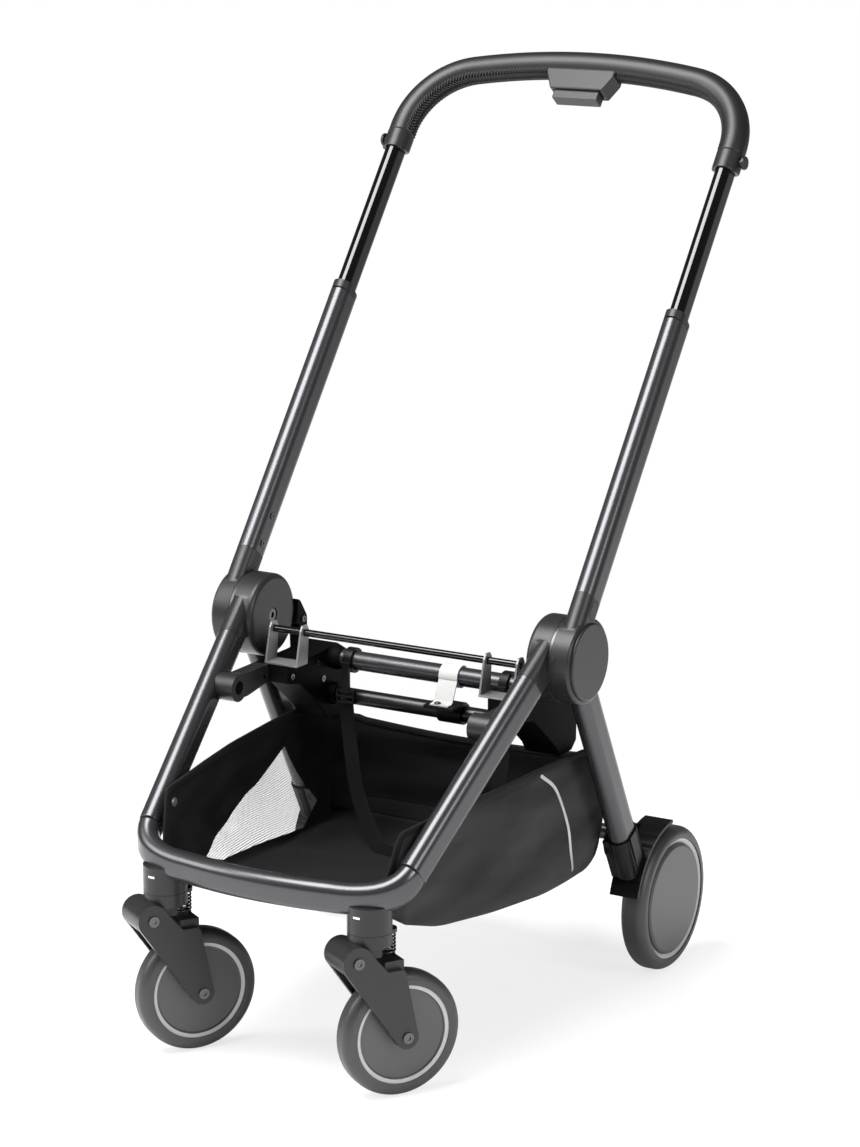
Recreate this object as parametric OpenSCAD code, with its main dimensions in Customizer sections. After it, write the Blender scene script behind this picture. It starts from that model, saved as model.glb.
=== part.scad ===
// Folding pushchair chassis: telescopic handle, two folding hubs, swivelling sprung front casters,
// rear legs with wheel guards, a cross frame for the seat and a fabric basket.
// Frame: +Z up, front towards -Y, origin on the ground at the middle of the footprint.

/* [Stance] */
// Height of the folding hubs' axis above the ground
hub_z = 457; // [430:1:480]
// Distance of the hub axis ahead of the middle of the footprint
hub_ahead = 55.46; // [46:0.01:62]
// Half the distance between the inner faces of the two hubs
hub_half = 191.5; // [175:0.5:210]
// Distance from the hub axis forward to the caster stems
stem_run = 318; // [300:1:345]
// Distance of the caster stems inside the hubs' inner faces
stem_in = 51.5; // [42:0.5:66]
// Distance from the hub axis back to the rear wheels' axis
rear_run = 237; // [215:1:260]

/* [Hubs] */
// Outer radius of the hub discs
hub_r = 52; // [48:0.5:58]
// Thickness of the inner hub disc
inner_disc = 30; // [26:0.5:34]
// Thickness of the leg's steel pivot plate between the discs
leg_plate = 3; // [2:0.5:5]
// Thickness of the outer hub disc
outer_disc = 25; // [22:0.5:30]
// Side gap between turning discs
disc_gap = 0.3; // [0.2:0.1:0.8]
// Radius of the hub axle
axle_r = 6; // [5:0.5:8]
// Radius of the round cap on the outer disc
cap_r = 46.5; // [42:0.5:47]
// How far the cap stands out of the outer disc
cap_rise = 3.2; // [1:0.2:5]

/* [Tubes] */
// Depth of the frame tubes, front to back
tube_d = 41; // [38:1:43]
// Width of the frame tubes, side to side
tube_w = 26; // [24:0.5:27]
// Wall of the frame tubes
tube_wall = 2; // [1.5:0.1:2.4]
// Backward lean of the handle tubes above the horizontal
upper_lean = 52.5; // [48:0.5:58]
// Distance of the handle tubes' axis in front of the hub axis
upper_offset = 28; // [24:0.5:32]
// Slope of the front tubes below the horizontal
front_slope = 38.5; // [36:0.5:41]
// Distance of the front tubes' axis above the hub axis
front_offset = 30.5; // [27:0.5:33]
// Inward drift of each front tube per unit of its length
front_toe = 0.108; // [0.08:0.002:0.13]
// Slope of the rear legs below the horizontal
leg_slope = 62.3; // [58:0.5:66]
// Distance from the rear wheels' axis to the lower end of the rear legs
leg_foot = 139; // [134:1:150]

/* [Handle] */
// Depth of the sliding handle tube, front to back
slide_d = 32; // [29:0.5:33]
// Width of the sliding handle tube, side to side
slide_w = 19.5; // [17:0.5:19.5]
// Distance along the handle from the hub axis to the end of the outer tube
outer_end = 438; // [425:1:455]
// Distance along the handle from the hub axis to the start of the grip
grip_start = 679; // [665:1:690]
// Length of sliding tube that stays inside the outer tube
slide_inside = 190; // [170:1:210]
// Radius of the two corners of the handlebar
bar_corner = 95; // [80:1:110]
// Angle by which the handlebar bows towards its middle
bar_bow = 10.6; // [6:0.2:14]
// Straight length of grip below each corner
grip_straight = 10; // [9:1:30]
// Depth of the padded grip, front to back
grip_d = 37; // [35:0.5:40]
// Width of the padded grip in the plane of the handlebar
grip_w = 33; // [30:0.5:35]
// Travel of the release paddle
paddle_travel = 6; // [4:0.5:7]

/* [Front bar] */
// Height of the front bar's axis above the ground
bar_z = 239; // [232:1:246]
// Distance from the caster stems forward to the middle of the front bar
bar_ahead = 22; // [16:1:30]
// Height of the front bar's section
bar_h = 37; // [33:1:41]
// Depth of the front bar's section
bar_d = 26; // [23:1:28]

/* [Casters] */
// Diameter of the front wheels
front_wheel_d = 150; // [140:1:156]
// Width of the front tyres
front_tyre_w = 30; // [26:1:31]
// Distance that the wheel trails behind the stem
trail = 35.5; // [32:0.5:40]
// Angle to which both casters are turned, from the right towards the rear
caster_turn = 58; // [0:1:90]
// Radius of the caster's round neck
neck_r = 26; // [23:0.5:28]
// Height of the seam between fixed housing and turning head
seam_z = 203; // [199:1:207]
// Height of the fork's pivot bolt
pivot_z = 174.5; // [171:0.5:177]
// Distance of the fork's pivot bolt in front of the stem
pivot_lead = 26.5; // [24:0.5:29]
// Thickness of each fork plate
fork_plate = 8; // [6:0.5:10]
// Radius of the fork's pivot and axle bolts
bolt_r = 5; // [4:0.5:6]
// Wire diameter of the suspension spring
wire_d = 2.8; // [2:0.2:3.2]
// Number of turns of the suspension spring
spring_turns = 5; // [3:1:5]

/* [Rear wheels] */
// Diameter of the rear wheels
rear_wheel_d = 184; // [176:1:192]
// Width of the rear tyres
rear_tyre_w = 34; // [30:1:36]
// Height of the rear tyres' rubber above the rim
rear_tyre_h = 15; // [12:0.5:18]
// Width of the ring between the round cap of the rear wheel and its tyre
rear_ring_w = 7; // [5:0.5:13]
// Radius of the cross tube between the wheel guards
cross_r = 10; // [8:0.5:11]

/* [Cross frame] */
// Height of the seat arms' axis above the ground
arm_z = 396; // [388:1:402]
// Width of each seat arm's front link
arm_w = 23; // [20:1:27]
// Width of each seat arm's rear link
carrier_w = 47; // [40:1:52]
// Radius of the seat adapter's socket
socket_r = 8.5; // [6:0.5:10]
// Radius of the upper cross tube
mid_r = 12; // [10:0.5:13]
// Radius of the lower cross tube
low_r = 10; // [8:0.5:11]
// Radius of the thin seat rod
rod_r = 4.5; // [3.5:0.25:5]

/* [Basket] */
// How far the basket's front reaches out beyond the caster stems
basket_front_out = 22; // [14:1:24]
// How far the basket's rear reaches out beyond the hubs' inner faces
basket_rear_out = 8.5; // [0:0.5:14]
// Thickness of the basket's fabric walls
cloth = 3; // [2:0.5:4]

/* [Hidden] */
$fn = 64;

// Colours of the finishes
satin_grey = [0.27, 0.27, 0.28];
gloss_black = [0.05, 0.05, 0.05];
moulded_black = [0.10, 0.10, 0.10];
moulded_grey = [0.20, 0.20, 0.21];
pale_grey = [0.62, 0.62, 0.62];
steel = [0.70, 0.70, 0.71];
fabric_black = [0.07, 0.07, 0.07];
rubber_grey = [0.16, 0.16, 0.16];

// Clearances
run_fit = 0.06;
snug_fit = 0.02;
slide_fit = 0.3;
pad_fit = 0.15;
face_gap = 0.4;
eps = 0.01;

// Hub stack, counted outwards from the middle of the frame
x_in0 = hub_half;
x_in1 = x_in0 + inner_disc;
x_plate0 = x_in1 + disc_gap;
x_plate1 = x_plate0 + leg_plate;
x_out0 = x_plate1 + disc_gap;
x_out1 = x_out0 + outer_disc;
hub = [0, -hub_ahead, hub_z];
disc_round = 7;
cap_seat = 3;

// Handle: distances along the tubes from the foot of the hub axis
tube_proud = 0;
fold_gap = 0.4;
upper_x = x_out1 + tube_proud - tube_w / 2;
neck_end = 68;
spigot = 24;
collar_len = 26;
lip = 1.2;
bush_len = 40;
bush_wall = 1.4;
bar_s0 = grip_start + grip_straight;
corner_x = upper_x - bar_corner;
bow_r = (corner_x + bar_corner * sin(bar_bow)) / sin(bar_bow);
bow_s = bar_s0 + (bar_corner - bow_r) * cos(bar_bow);
bar_top = bow_s + bow_r;
slide_wall = 1.6;

// Front tubes: the point at a distance t from the foot of the hub axis
front_x0 = upper_x - tube_w - fold_gap + 50 * front_toe;
front_neck = 66;
front_end = 344;
function front_at(t) = [
    front_x0 - front_toe * t,
    hub[1] - front_offset * sin(front_slope) - t * cos(front_slope),
    hub[2] + front_offset * cos(front_slope) - t * sin(front_slope)];

// Rear legs and wheels
leg_inset = 7.5;
leg_x = x_plate1 + tube_w / 2 - leg_inset;
leg_gap = 2.6;
wheel_y = hub[1] + rear_run;
wheel_z = rear_wheel_d / 2;
// Where the leg's line comes within leg_foot of the wheel's axis
leg_dir = [cos(leg_slope), -sin(leg_slope)];
leg_to_wheel = [rear_run, wheel_z - hub_z];
leg_nearest = leg_to_wheel * leg_dir;
leg_off = norm(leg_to_wheel - leg_nearest * leg_dir);
leg_len = leg_nearest - sqrt(leg_foot * leg_foot - leg_off * leg_off);
tyre_x1 = x_out1 + 4;
tyre_x0 = tyre_x1 - rear_tyre_w;
guard_plate = 6;
guard_x1 = tyre_x0 - 1.5;
guard_x0 = guard_x1 - guard_plate;
fender_x1 = tyre_x1 - 3;
fender_gap = 9;
fender_wall = 4;
cross_y = wheel_y - 25;
cross_z = wheel_z + 82;
stub_r = 6;

// Casters
stem_y = hub[1] - stem_run;
stem_half = hub_half - stem_in;
wheel_r = front_wheel_d / 2;
fork_in = front_tyre_w / 2 + 2.5;
fork_out = fork_in + fork_plate;
pivot_r = 19;
foot_r = 14;
stem_r = 8;
stem_up = 25;
seat_t = 22;
spring_r = 9;
spring_z0 = pivot_z - 6.5;
spring_z1 = seam_z - 5;
front_rim_r = wheel_r - 16;
ring_in = 54;

// Cross frame
arm_x1 = hub_half - 3.5;
arm_x0 = arm_x1 - arm_w;
carrier_x0 = arm_x1 - carrier_w;
arm_h = 25;
boss_y = hub[1] - 121;
boss_r = 17;
knuckle_y = hub[1] - 48;
mid_y = hub[1] + 57;
mid_z = arm_z + 1;
low_z = arm_z - 46;
rod_y = hub[1] - 27;
rod_z = arm_z + 53;
ear_y = hub[1] + 64;
ear_z = hub[2] - 18.5;
bracket_t = 2.5;
bracket_x0 = carrier_x0 - 13.5;
bracket_x1 = bracket_x0 + carrier_w;
strap_x = carrier_x0 - 30;
saddle_x = 34;
saddle_half = 17;
band_t = 2;

// Basket: side outline from the front hem round to the rear wall
basket_y0 = stem_y - 2;
basket_bay = stem_y + neck_r + 5;
basket_hem = bar_z - 6;
basket_top = 312;
basket_y1 = wheel_y - 72;
basket_front = stem_half + basket_front_out;
basket_rear = hub_half + basket_rear_out;
basket_gap = 3;

function lerp(a, b, u) = a + (b - a) * u;
function bezier(a, c, b, u) = lerp(lerp(a, c, u), lerp(c, b, u), u);
function unit(v) = v / norm(v);

// A rounded slot shape: d along Y, w along X
module stadium(d, w) {
    square([w, d - w], center = true);
    for (s = [-1, 1])
        translate([0, s * (d - w) / 2])
            circle(d = w);
}

// An outline in the Y-Z plane, extruded along X from x0 to x1
module side_plate(x0, x1) {
    translate([x0, 0, 0])
        rotate([90, 0, 90])
            linear_extrude(x1 - x0)
                children();
}

// A cylinder along X from x0 to x1
module x_rod(r, x0, x1) {
    translate([x0, 0, 0])
        rotate([0, 90, 0])
            cylinder(r = r, h = x1 - x0);
}

// The outline round two circles and their outer tangents
module link_outline(p, rp, q, rq) {
    v = q - p;
    a = atan2(v[1], v[0]);
    b = acos((rp - rq) / norm(v));
    translate(p)
        circle(r = rp);
    translate(q)
        circle(r = rq);
    polygon([
        p + rp * [cos(a + b), sin(a + b)],
        q + rq * [cos(a + b), sin(a + b)],
        q + rq * [cos(a - b), sin(a - b)],
        p + rp * [cos(a - b), sin(a - b)]]);
}

// Children placed with their Z axis from point a towards point b, X staying in a vertical plane
module along(a, b) {
    v = b - a;
    translate(a)
        rotate([0, acos(v[2] / norm(v)), atan2(v[1], v[0])])
            children();
}

module at_hub() {
    translate(hub)
        children();
}

// Z along the handle tubes, Y towards the rear, origin on the hub axis
module handle_frame() {
    at_hub()
        rotate([upper_lean - 90, 0, 0])
            children();
}

// Z up along the rear legs, origin on the hub axis
module leg_frame() {
    at_hub()
        rotate([90 - leg_slope, 0, 0])
            children();
}

// X along the trailing direction of a caster, Z up, origin on the ground under the stem
module caster_frame(side) {
    translate([side * stem_half, stem_y, 0])
        rotate([0, 0, caster_turn])
            children();
}

module both_sides() {
    for (s = [0, 1])
        mirror([s, 0, 0])
            children();
}

// A screw with a hexagon recess, head facing +Z, seated on the plane z = 0
module screw(r, h) {
    recess = 0.5;
    difference() {
        cylinder(r = r, h = h);
        translate([0, 0, h * 0.4])
            cylinder(r = r * recess, h = h, $fn = 6);
    }
}

// The skin of a tube swept along a path; rings are slot shaped, their long side held towards "up"
function path_dir(path, i) = unit(path[min(i + 1, len(path) - 1)] - path[max(i - 1, 0)]);
function swept_ring(path, i, d, w, sides, up) =
    let (
        t = path_dir(path, i),
        across = unit(cross(t, up)),
        tall = cross(across, t))
    [for (k = [0 : sides - 1])
        let (a = 360 * (k + 0.5) / sides, c = cos(a), s = sin(a))
        path[i] + across * c * w / 2 + tall * (s * w / 2 + sign(s) * (d - w) / 2)];

module swept_bar(path, d, w, sides, up) {
    n = len(path);
    points = [for (i = [0 : n - 1]) each swept_ring(path, i, d, w, sides, up)];
    skin = [
        for (i = [0 : n - 2], k = [0 : sides - 1])
            let (a = i * sides + k, b = i * sides + (k + 1) % sides)
            each [[a, b, a + sides], [b, b + sides, a + sides]]];
    front = [for (k = [1 : sides - 2]) [0, k + 1, k]];
    last = (n - 1) * sides;
    back = [for (k = [1 : sides - 2]) [last, last + k, last + k + 1]];
    polyhedron(points = points, faces = concat(skin, front, back), convexity = 6);
}

// Path of the front bar from the right tube's end round to the left one
bar_mid = [0, stem_y - bar_ahead, bar_z];
bar_quarter = [stem_half - 43, stem_y - bar_ahead + 9.5, bar_z];
bar_knot = [stem_half * 0.36, stem_y - bar_ahead, bar_z];
bar_drop = (front_at(front_end)[2] - bar_z) / sin(front_slope);
bar_corner_knot = front_at(front_end + bar_drop);
corner_steps = 10;
mid_steps = 6;
bar_half = concat(
    [front_at(front_end)],
    [for (i = [0 : corner_steps])
        bezier(front_at(front_end + 3), bar_corner_knot, bar_quarter, i / corner_steps)],
    [for (i = [1 : mid_steps]) bezier(bar_quarter, bar_knot, bar_mid, i / mid_steps)]);
function whole_path(half) = concat(
    half,
    [for (i = [len(half) - 2 : -1 : 0]) [-half[i][0], half[i][1], half[i][2]]]);
bar_path = whole_path(bar_half);
// The bore runs on past the bar's ends, so that both are cut open
bore_path = whole_path(concat([front_at(front_end - 2)], bar_half));
bar_sides = 20;

module front_bar() {
    color(satin_grey)
        difference() {
            swept_bar(bar_path, bar_h, bar_d, bar_sides, [0, 0, 1]);
            swept_bar(bore_path, bar_h - 2 * tube_wall, bar_d - 2 * tube_wall, bar_sides, [0, 0, 1]);
        }
}

module front_tube_r() {
    a = front_at(front_neck);
    b = front_at(front_end - eps);
    color(satin_grey)
        along(a, b)
            rotate([0, 0, 90])
                difference() {
                    linear_extrude(norm(b - a))
                        stadium(tube_d, tube_w);
                    translate([0, 0, -1])
                        linear_extrude(norm(b - a) + 2)
                            stadium(tube_d - 2 * tube_wall, tube_w - 2 * tube_wall);
                }
}

module front_tube_l() {
    mirror([1, 0, 0])
        front_tube_r();
}

// A disc with one rounded edge: radius r from z = 0 to z = h, rounded at the top
module rounded_disc(r, h, e) {
    rotate_extrude() {
        square([r - e, h]);
        square([r, h - e]);
        translate([r - e, h - e])
            circle(r = e);
    }
}

module hub_inner_r() {
    a = front_at(14);
    b = front_at(front_neck - eps);
    color(moulded_grey)
        difference() {
            union() {
                at_hub()
                    translate([x_in1, 0, 0])
                        rotate([0, -90, 0])
                            rounded_disc(hub_r, inner_disc, disc_round);
                intersection() {
                    along(a, b)
                        rotate([0, 0, 90])
                            linear_extrude(norm(b - a))
                                stadium(tube_d, tube_w);
                    translate([x_in0, hub[1] - 4 * hub_r, 0])
                        cube([inner_disc, 8 * hub_r, 2 * hub_z]);
                }
            }
            at_hub()
                x_rod(axle_r + snug_fit, x_in0 - 1, x_in1 + 1);
            at_hub()
                x_rod(axle_r + 3, x_in0 - 1, x_in0 + 4);
        }
}

module hub_inner_l() {
    mirror([1, 0, 0])
        hub_inner_r();
}

axle_end = x_out1 - cap_seat - 4;
module hub_axles() {
    color(steel)
        both_sides()
            at_hub() {
                x_rod(axle_r, x_in0 + 4, axle_end);
                translate([x_in0 + 4, 0, 0])
                    rotate([0, -90, 0])
                        screw(axle_r + 2, 3);
            }
}

module caster_housing(side) {
    top_z = bar_z - bar_h / 2 + 2.5;
    h = top_z - seam_z;
    color(moulded_grey)
        difference() {
            translate([side * stem_half, stem_y, seam_z])
                cylinder(r = neck_r, h = h + bar_h / 2);
            swept_bar(bar_path, bar_h, bar_d, bar_sides, [0, 0, 1]);
            translate([side * stem_half - neck_r - 1, stem_y - neck_r - 1, bar_z - 4])
                cube([2 * neck_r + 2, 2 * neck_r + 2, bar_h]);
            translate([side * stem_half, stem_y, seam_z - 1])
                cylinder(r = stem_r + run_fit, h = stem_up - 4);
        }
}

module caster_housing_r() {
    caster_housing(1);
}

module caster_housing_l() {
    caster_housing(-1);
}

// Turning head under the housing: neck, web and the barrel that carries the fork
module caster_head(side) {
    base_z = seam_z - 16;
    barrel = fork_in - slide_fit;
    color(moulded_grey)
        caster_frame(side)
            difference() {
                union() {
                    translate([0, 0, base_z])
                        cylinder(r = neck_r, h = seam_z - face_gap - base_z);
                    translate([0, 0, seam_z - face_gap - eps])
                        cylinder(r = stem_r, h = stem_up - 6);
                    translate([seat_t, 0, spring_z1 + eps])
                        cylinder(r = spring_r + 2.5, h = seam_z - face_gap - spring_z1 - eps);
                    translate([-pivot_lead, 0, pivot_z])
                        rotate([90, 0, 0])
                            cylinder(r = pivot_r, h = 2 * barrel, center = true);
                    translate([-pivot_lead - 6, -barrel, pivot_z])
                        cube([pivot_lead + 13, 2 * barrel, base_z - pivot_z + 4]);
                }
                translate([-pivot_lead, 0, pivot_z])
                    rotate([90, 0, 0])
                        cylinder(r = bolt_r + run_fit, h = 4 * barrel, center = true);
                translate([seat_t, 0, spring_z0 - 10])
                    cylinder(r = spring_r + wire_d / 2 + 1.5, h = spring_z1 - spring_z0 + 10 + eps);
                // Room for the round ends of the fork plates
                for (s = [-1, 1])
                    translate([-pivot_lead, s * (barrel + 15), pivot_z])
                        rotate([90, 0, 0])
                            cylinder(r = pivot_r + 0.8, h = 30, center = true);
            }
}

module caster_head_r() {
    caster_head(1);
}

module caster_head_l() {
    caster_head(-1);
}

// Sprung fork: two drop-shaped plates and the bridge under the spring
module fork(side) {
    pivot = [-pivot_lead, pivot_z];
    foot = [trail, wheel_r];
    top = spring_z0 - 10;
    bridge = 24;
    bridge_h = 15;
    color(moulded_grey)
        caster_frame(side)
            rotate([90, 0, 0])
                difference() {
                    union() {
                        for (s = [-1, 1])
                            translate([0, 0, s * (fork_in + fork_plate / 2)])
                                linear_extrude(fork_plate, center = true) {
                                    link_outline(pivot, pivot_r, foot, foot_r);
                                    polygon([
                                        pivot, pivot + [13, 12.5], [seat_t - 11, top], [seat_t + 8, top],
                                        [seat_t + 11.5, top - 4], foot + [foot_r - 0.6, 2.5], foot]);
                                }
                        translate([seat_t, spring_z0 - bridge_h / 2, 0])
                            cube([bridge, bridge_h, 2 * fork_in + 3], center = true);
                    }
                    for (p = [pivot, foot])
                        translate(p)
                            cylinder(r = bolt_r + snug_fit, h = 4 * fork_out, center = true);
                }
}

module fork_r() {
    fork(1);
}

module fork_l() {
    fork(-1);
}

// Pivot bolt and wheel axle with their heads
module fork_bolts(side) {
    color(steel)
        caster_frame(side)
            for (p = [[-pivot_lead, pivot_z], [trail, wheel_r]])
                translate([p[0], 0, p[1]])
                    rotate([90, 0, 0]) {
                        cylinder(r = bolt_r, h = 2 * fork_out, center = true);
                        translate([0, 0, fork_out])
                            screw(bolt_r + 1.5, 2);
                        translate([0, 0, -fork_out])
                            rotate([180, 0, 0])
                                screw(bolt_r + 1.5, 2);
                    }
}

module fork_bolts_r() {
    fork_bolts(1);
}

module fork_bolts_l() {
    fork_bolts(-1);
}

// Suspension spring: one unbroken wire, its ends run straight into the seats
spring_steps = 8;
wire_sides = 6;
function coil_point(u, z0, z1) = [
    seat_t + spring_r * cos(360 * spring_turns * u),
    spring_r * sin(360 * spring_turns * u),
    lerp(z0, z1, u)];
spring_rise = wire_d;
coil_z0 = spring_z0 + spring_rise + wire_d / 2;
coil_z1 = spring_z1 - spring_rise - wire_d / 2;
coil_n = spring_steps * spring_turns;
spring_path = concat(
    [[seat_t + spring_r, 0, spring_z0]],
    [for (i = [0 : coil_n]) coil_point(i / coil_n, coil_z0, coil_z1)],
    [[seat_t + spring_r, 0, spring_z1]]);
spring_gap = norm(coil_point(0, coil_z0, coil_z1) - coil_point(1 / spring_turns, coil_z0, coil_z1)) - wire_d;
echo("least gap between spring turns, mm", spring_gap);

function wire_ring(path, i) =
    let (
        a = path[max(i - 1, 0)],
        b = path[min(i + 1, len(path) - 1)],
        t = unit(b - a),
        n = unit([path[i][0] - seat_t, path[i][1], 0]),
        m = unit(cross(t, n)),
        e = cross(m, t))
    [for (k = [0 : wire_sides - 1])
        path[i] + wire_d / 2 * (cos(360 * k / wire_sides) * e + sin(360 * k / wire_sides) * m)];

module fork_spring(side) {
    n = len(spring_path);
    points = [for (i = [0 : n - 1]) each wire_ring(spring_path, i)];
    skin = [
        for (i = [0 : n - 2], k = [0 : wire_sides - 1])
            let (a = i * wire_sides + k, b = i * wire_sides + (k + 1) % wire_sides)
            each [[a, a + wire_sides, b], [b, a + wire_sides, b + wire_sides]]];
    last = (n - 1) * wire_sides;
    start_cap = [for (k = [1 : wire_sides - 2]) [0, k, k + 1]];
    end_cap = [for (k = [1 : wire_sides - 2]) [last, last + k + 1, last + k]];
    color(steel)
        caster_frame(side)
            polyhedron(points = points, faces = concat(skin, start_cap, end_cap), convexity = 10);
}

module fork_spring_r() {
    fork_spring(1);
}

module fork_spring_l() {
    fork_spring(-1);
}

// A tyre round the Z axis: outer radius r, seat radius s, width w, shoulder radius e
module tyre(r, s, w, e) {
    rotate_extrude($fn = 96)
        difference() {
            union() {
                translate([s, -w / 2])
                    square([r - e - s, w]);
                translate([s, -w / 2 + e])
                    square([r - s, w - 2 * e]);
                for (k = [-1, 1])
                    translate([r - e, k * (w / 2 - e)])
                        circle(r = e);
            }
            translate([0, -w])
                square([s, 2 * w]);
        }
}

module caster_wheel_frame(side) {
    caster_frame(side)
        translate([trail, 0, wheel_r])
            rotate([90, 0, 0])
                children();
}

module front_tyre(side) {
    color(rubber_grey)
        caster_wheel_frame(side)
            tyre(wheel_r, front_rim_r, front_tyre_w, 11);
}

module front_tyre_r() {
    front_tyre(1);
}

module front_tyre_l() {
    front_tyre(-1);
}

module front_rim(side) {
    hub_side = fork_in - face_gap;
    web = front_tyre_w / 2 - 4;
    color(moulded_grey)
        caster_wheel_frame(side)
            rotate_extrude($fn = 96) {
                translate([bolt_r + run_fit, -hub_side])
                    square([foot_r - bolt_r, 2 * hub_side]);
                translate([bolt_r + run_fit, -web])
                    square([ring_in - bolt_r, 2 * web]);
                translate([ring_in - 1, -web - 1.5])
                    square([front_rim_r - snug_fit - ring_in + 1, 2 * web + 3]);
            }
}

module front_rim_r() {
    front_rim(1);
}

module front_rim_l() {
    front_rim(-1);
}

// Outer hub: disc that turns with the handle, its neck and the spigot inside the tube
module hub_outer_r() {
    color(moulded_grey)
        difference() {
            union() {
                at_hub()
                    translate([x_out0, 0, 0])
                        rotate([0, 90, 0])
                            rounded_disc(hub_r, outer_disc, 4);
                handle_frame()
                    intersection() {
                        translate([upper_x, -upper_offset, 0])
                            linear_extrude(neck_end - eps)
                                stadium(tube_d, tube_w);
                        translate([x_out0, -2 * hub_r, -hub_r])
                            cube([2 * tube_w, 4 * hub_r, neck_end + 2 * hub_r]);
                    }
                handle_frame()
                    translate([upper_x, -upper_offset, 0])
                        linear_extrude(neck_end + spigot)
                            stadium(tube_d - 2 * tube_wall - 0.2, tube_w - 2 * tube_wall - 0.2);
                // Finger rest of the fold lock on the lower front rim
                handle_frame()
                    rotate([114, 0, 0])
                        translate([x_out0 + 4, 0, hub_r - 3])
                            cylinder(r = 3.5, h = 4);
            }
            at_hub()
                x_rod(axle_r + run_fit, x_out0 - 1, axle_end + face_gap);
            at_hub()
                x_rod(cap_r + 0.1, x_out1 - cap_seat, x_out1 + 10);
        }
}

module hub_outer_l() {
    mirror([1, 0, 0])
        hub_outer_r();
}

module hub_cap_r() {
    color(moulded_grey)
        at_hub()
            translate([x_out1 - cap_seat, 0, 0])
                rotate([0, 90, 0])
                    rounded_disc(cap_r, cap_seat + cap_rise, 2);
}

module hub_cap_l() {
    mirror([1, 0, 0])
        hub_cap_r();
}

module outer_tube_r() {
    color(satin_grey)
        handle_frame()
            translate([upper_x, -upper_offset, neck_end])
                difference() {
                    linear_extrude(outer_end - neck_end)
                        stadium(tube_d, tube_w);
                    translate([0, 0, -1])
                        linear_extrude(outer_end - neck_end + 2)
                            stadium(tube_d - 2 * tube_wall, tube_w - 2 * tube_wall);
                }
}

module outer_tube_l() {
    mirror([1, 0, 0])
        outer_tube_r();
}

// Slanted plastic lip and guide bush at the top of each outer tube
module tube_collars() {
    lip_h = 12;
    color(moulded_grey)
        both_sides()
            handle_frame()
                translate([upper_x, -upper_offset, outer_end])
                    difference() {
                        union() {
                            intersection() {
                                linear_extrude(lip_h)
                                    stadium(tube_d, tube_w);
                                translate([0, 0, 3])
                                    rotate([-14, 0, 0])
                                        cube([2 * tube_w, 2 * tube_d, lip_h], center = true);
                            }
                            translate([0, 0, -bush_len])
                                linear_extrude(bush_len + 1)
                                    stadium(tube_d - 2 * tube_wall - 0.2, tube_w - 2 * tube_wall - 0.2);
                        }
                        translate([0, 0, -bush_len - 1])
                            linear_extrude(bush_len + lip_h + 10)
                                stadium(slide_d + 2 * slide_fit, slide_w + 2 * slide_fit);
                    }
}

// Screws low on the inner faces of the outer tubes
module upper_screws() {
    color(steel)
        both_sides()
            handle_frame()
                for (s = [neck_end + 14, neck_end + 52])
                    translate([upper_x - tube_w / 2, -upper_offset, s])
                        rotate([0, -90, 0])
                            screw(4, 1.2);
}

// Path of the handlebar in the plane of the handle, from the right side over the middle to the left
corner_rings = 9;
bow_rings = 5;
loop_path = concat(
    [for (i = [0 : corner_rings])
        let (a = (90 - bar_bow) * i / corner_rings)
        [corner_x + bar_corner * cos(a), 0, bar_s0 + bar_corner * sin(a)]],
    [for (i = [1 : 2 * bow_rings])
        let (a = 90 - bar_bow + bar_bow * i / bow_rings)
        [bow_r * cos(a), 0, bow_s + bow_r * sin(a)]],
    [for (i = [corner_rings - 1 : -1 : 0])
        let (a = (90 - bar_bow) * i / corner_rings)
        [-corner_x - bar_corner * cos(a), 0, bar_s0 + bar_corner * sin(a)]]);
loop_sides = 20;

// The loop with straight ends reaching down to s0
module handle_loop(s0, d, w) {
    ends = concat([[upper_x, 0, s0]], loop_path, [[-upper_x, 0, s0]]);
    swept_bar(ends, d, w, loop_sides, [0, 1, 0]);
}

module at_handle() {
    handle_frame()
        translate([0, -upper_offset, 0])
            children();
}

// Two straight sliding tubes, one in each outer tube
bar_joint = grip_start + 8;
module slide_tubes() {
    s0 = outer_end - slide_inside;
    color(gloss_black)
        both_sides()
            at_handle()
                translate([upper_x, 0, s0])
                    difference() {
                        linear_extrude(bar_joint - s0 - eps)
                            stadium(slide_d, slide_w);
                        translate([0, 0, -1])
                            linear_extrude(bar_joint - s0 + 2)
                                stadium(slide_d - 2 * slide_wall, slide_w - 2 * slide_wall);
                    }
}

// Bent tube inside the grip, joined to both sliding tubes
module handle_bar() {
    color(gloss_black)
        at_handle()
            difference() {
                handle_loop(bar_joint, slide_d, slide_w);
                handle_loop(bar_joint - 1, slide_d - 2 * slide_wall, slide_w - 2 * slide_wall);
            }
}

module handle_grip() {
    color(fabric_black)
        at_handle()
            difference() {
                handle_loop(grip_start, grip_d, grip_w);
                handle_loop(grip_start - 1, slide_d + 2 * pad_fit, slide_w + 2 * pad_fit);
                button_pocket();
            }
}

// The space that the button housing takes out of the grip
housing_w = 96;
housing_d = 27;
housing_drop = 30;
housing_lip = 4;
module button_pocket() {
    translate([-housing_w / 2 - 0.2, -housing_d / 2 - 0.2, bar_top - grip_w / 2 - 6])
        cube([housing_w + 0.4, housing_d + 0.4, housing_lip + 6.4]);
}

module grip_collars() {
    color(moulded_grey)
        both_sides()
            at_handle()
                translate([upper_x, 0, grip_start - collar_len])
                    difference() {
                        linear_extrude(collar_len - eps)
                            stadium(grip_d + 1, grip_w);
                        translate([0, 0, -1])
                            linear_extrude(collar_len + 2)
                                stadium(slide_d + 0.1, slide_w + 0.1);
                        translate([0, 0, -9])
                            rotate([16, 0, 0])
                                cube([2 * grip_w, 3 * grip_d, 20], center = true);
                    }
}

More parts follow.
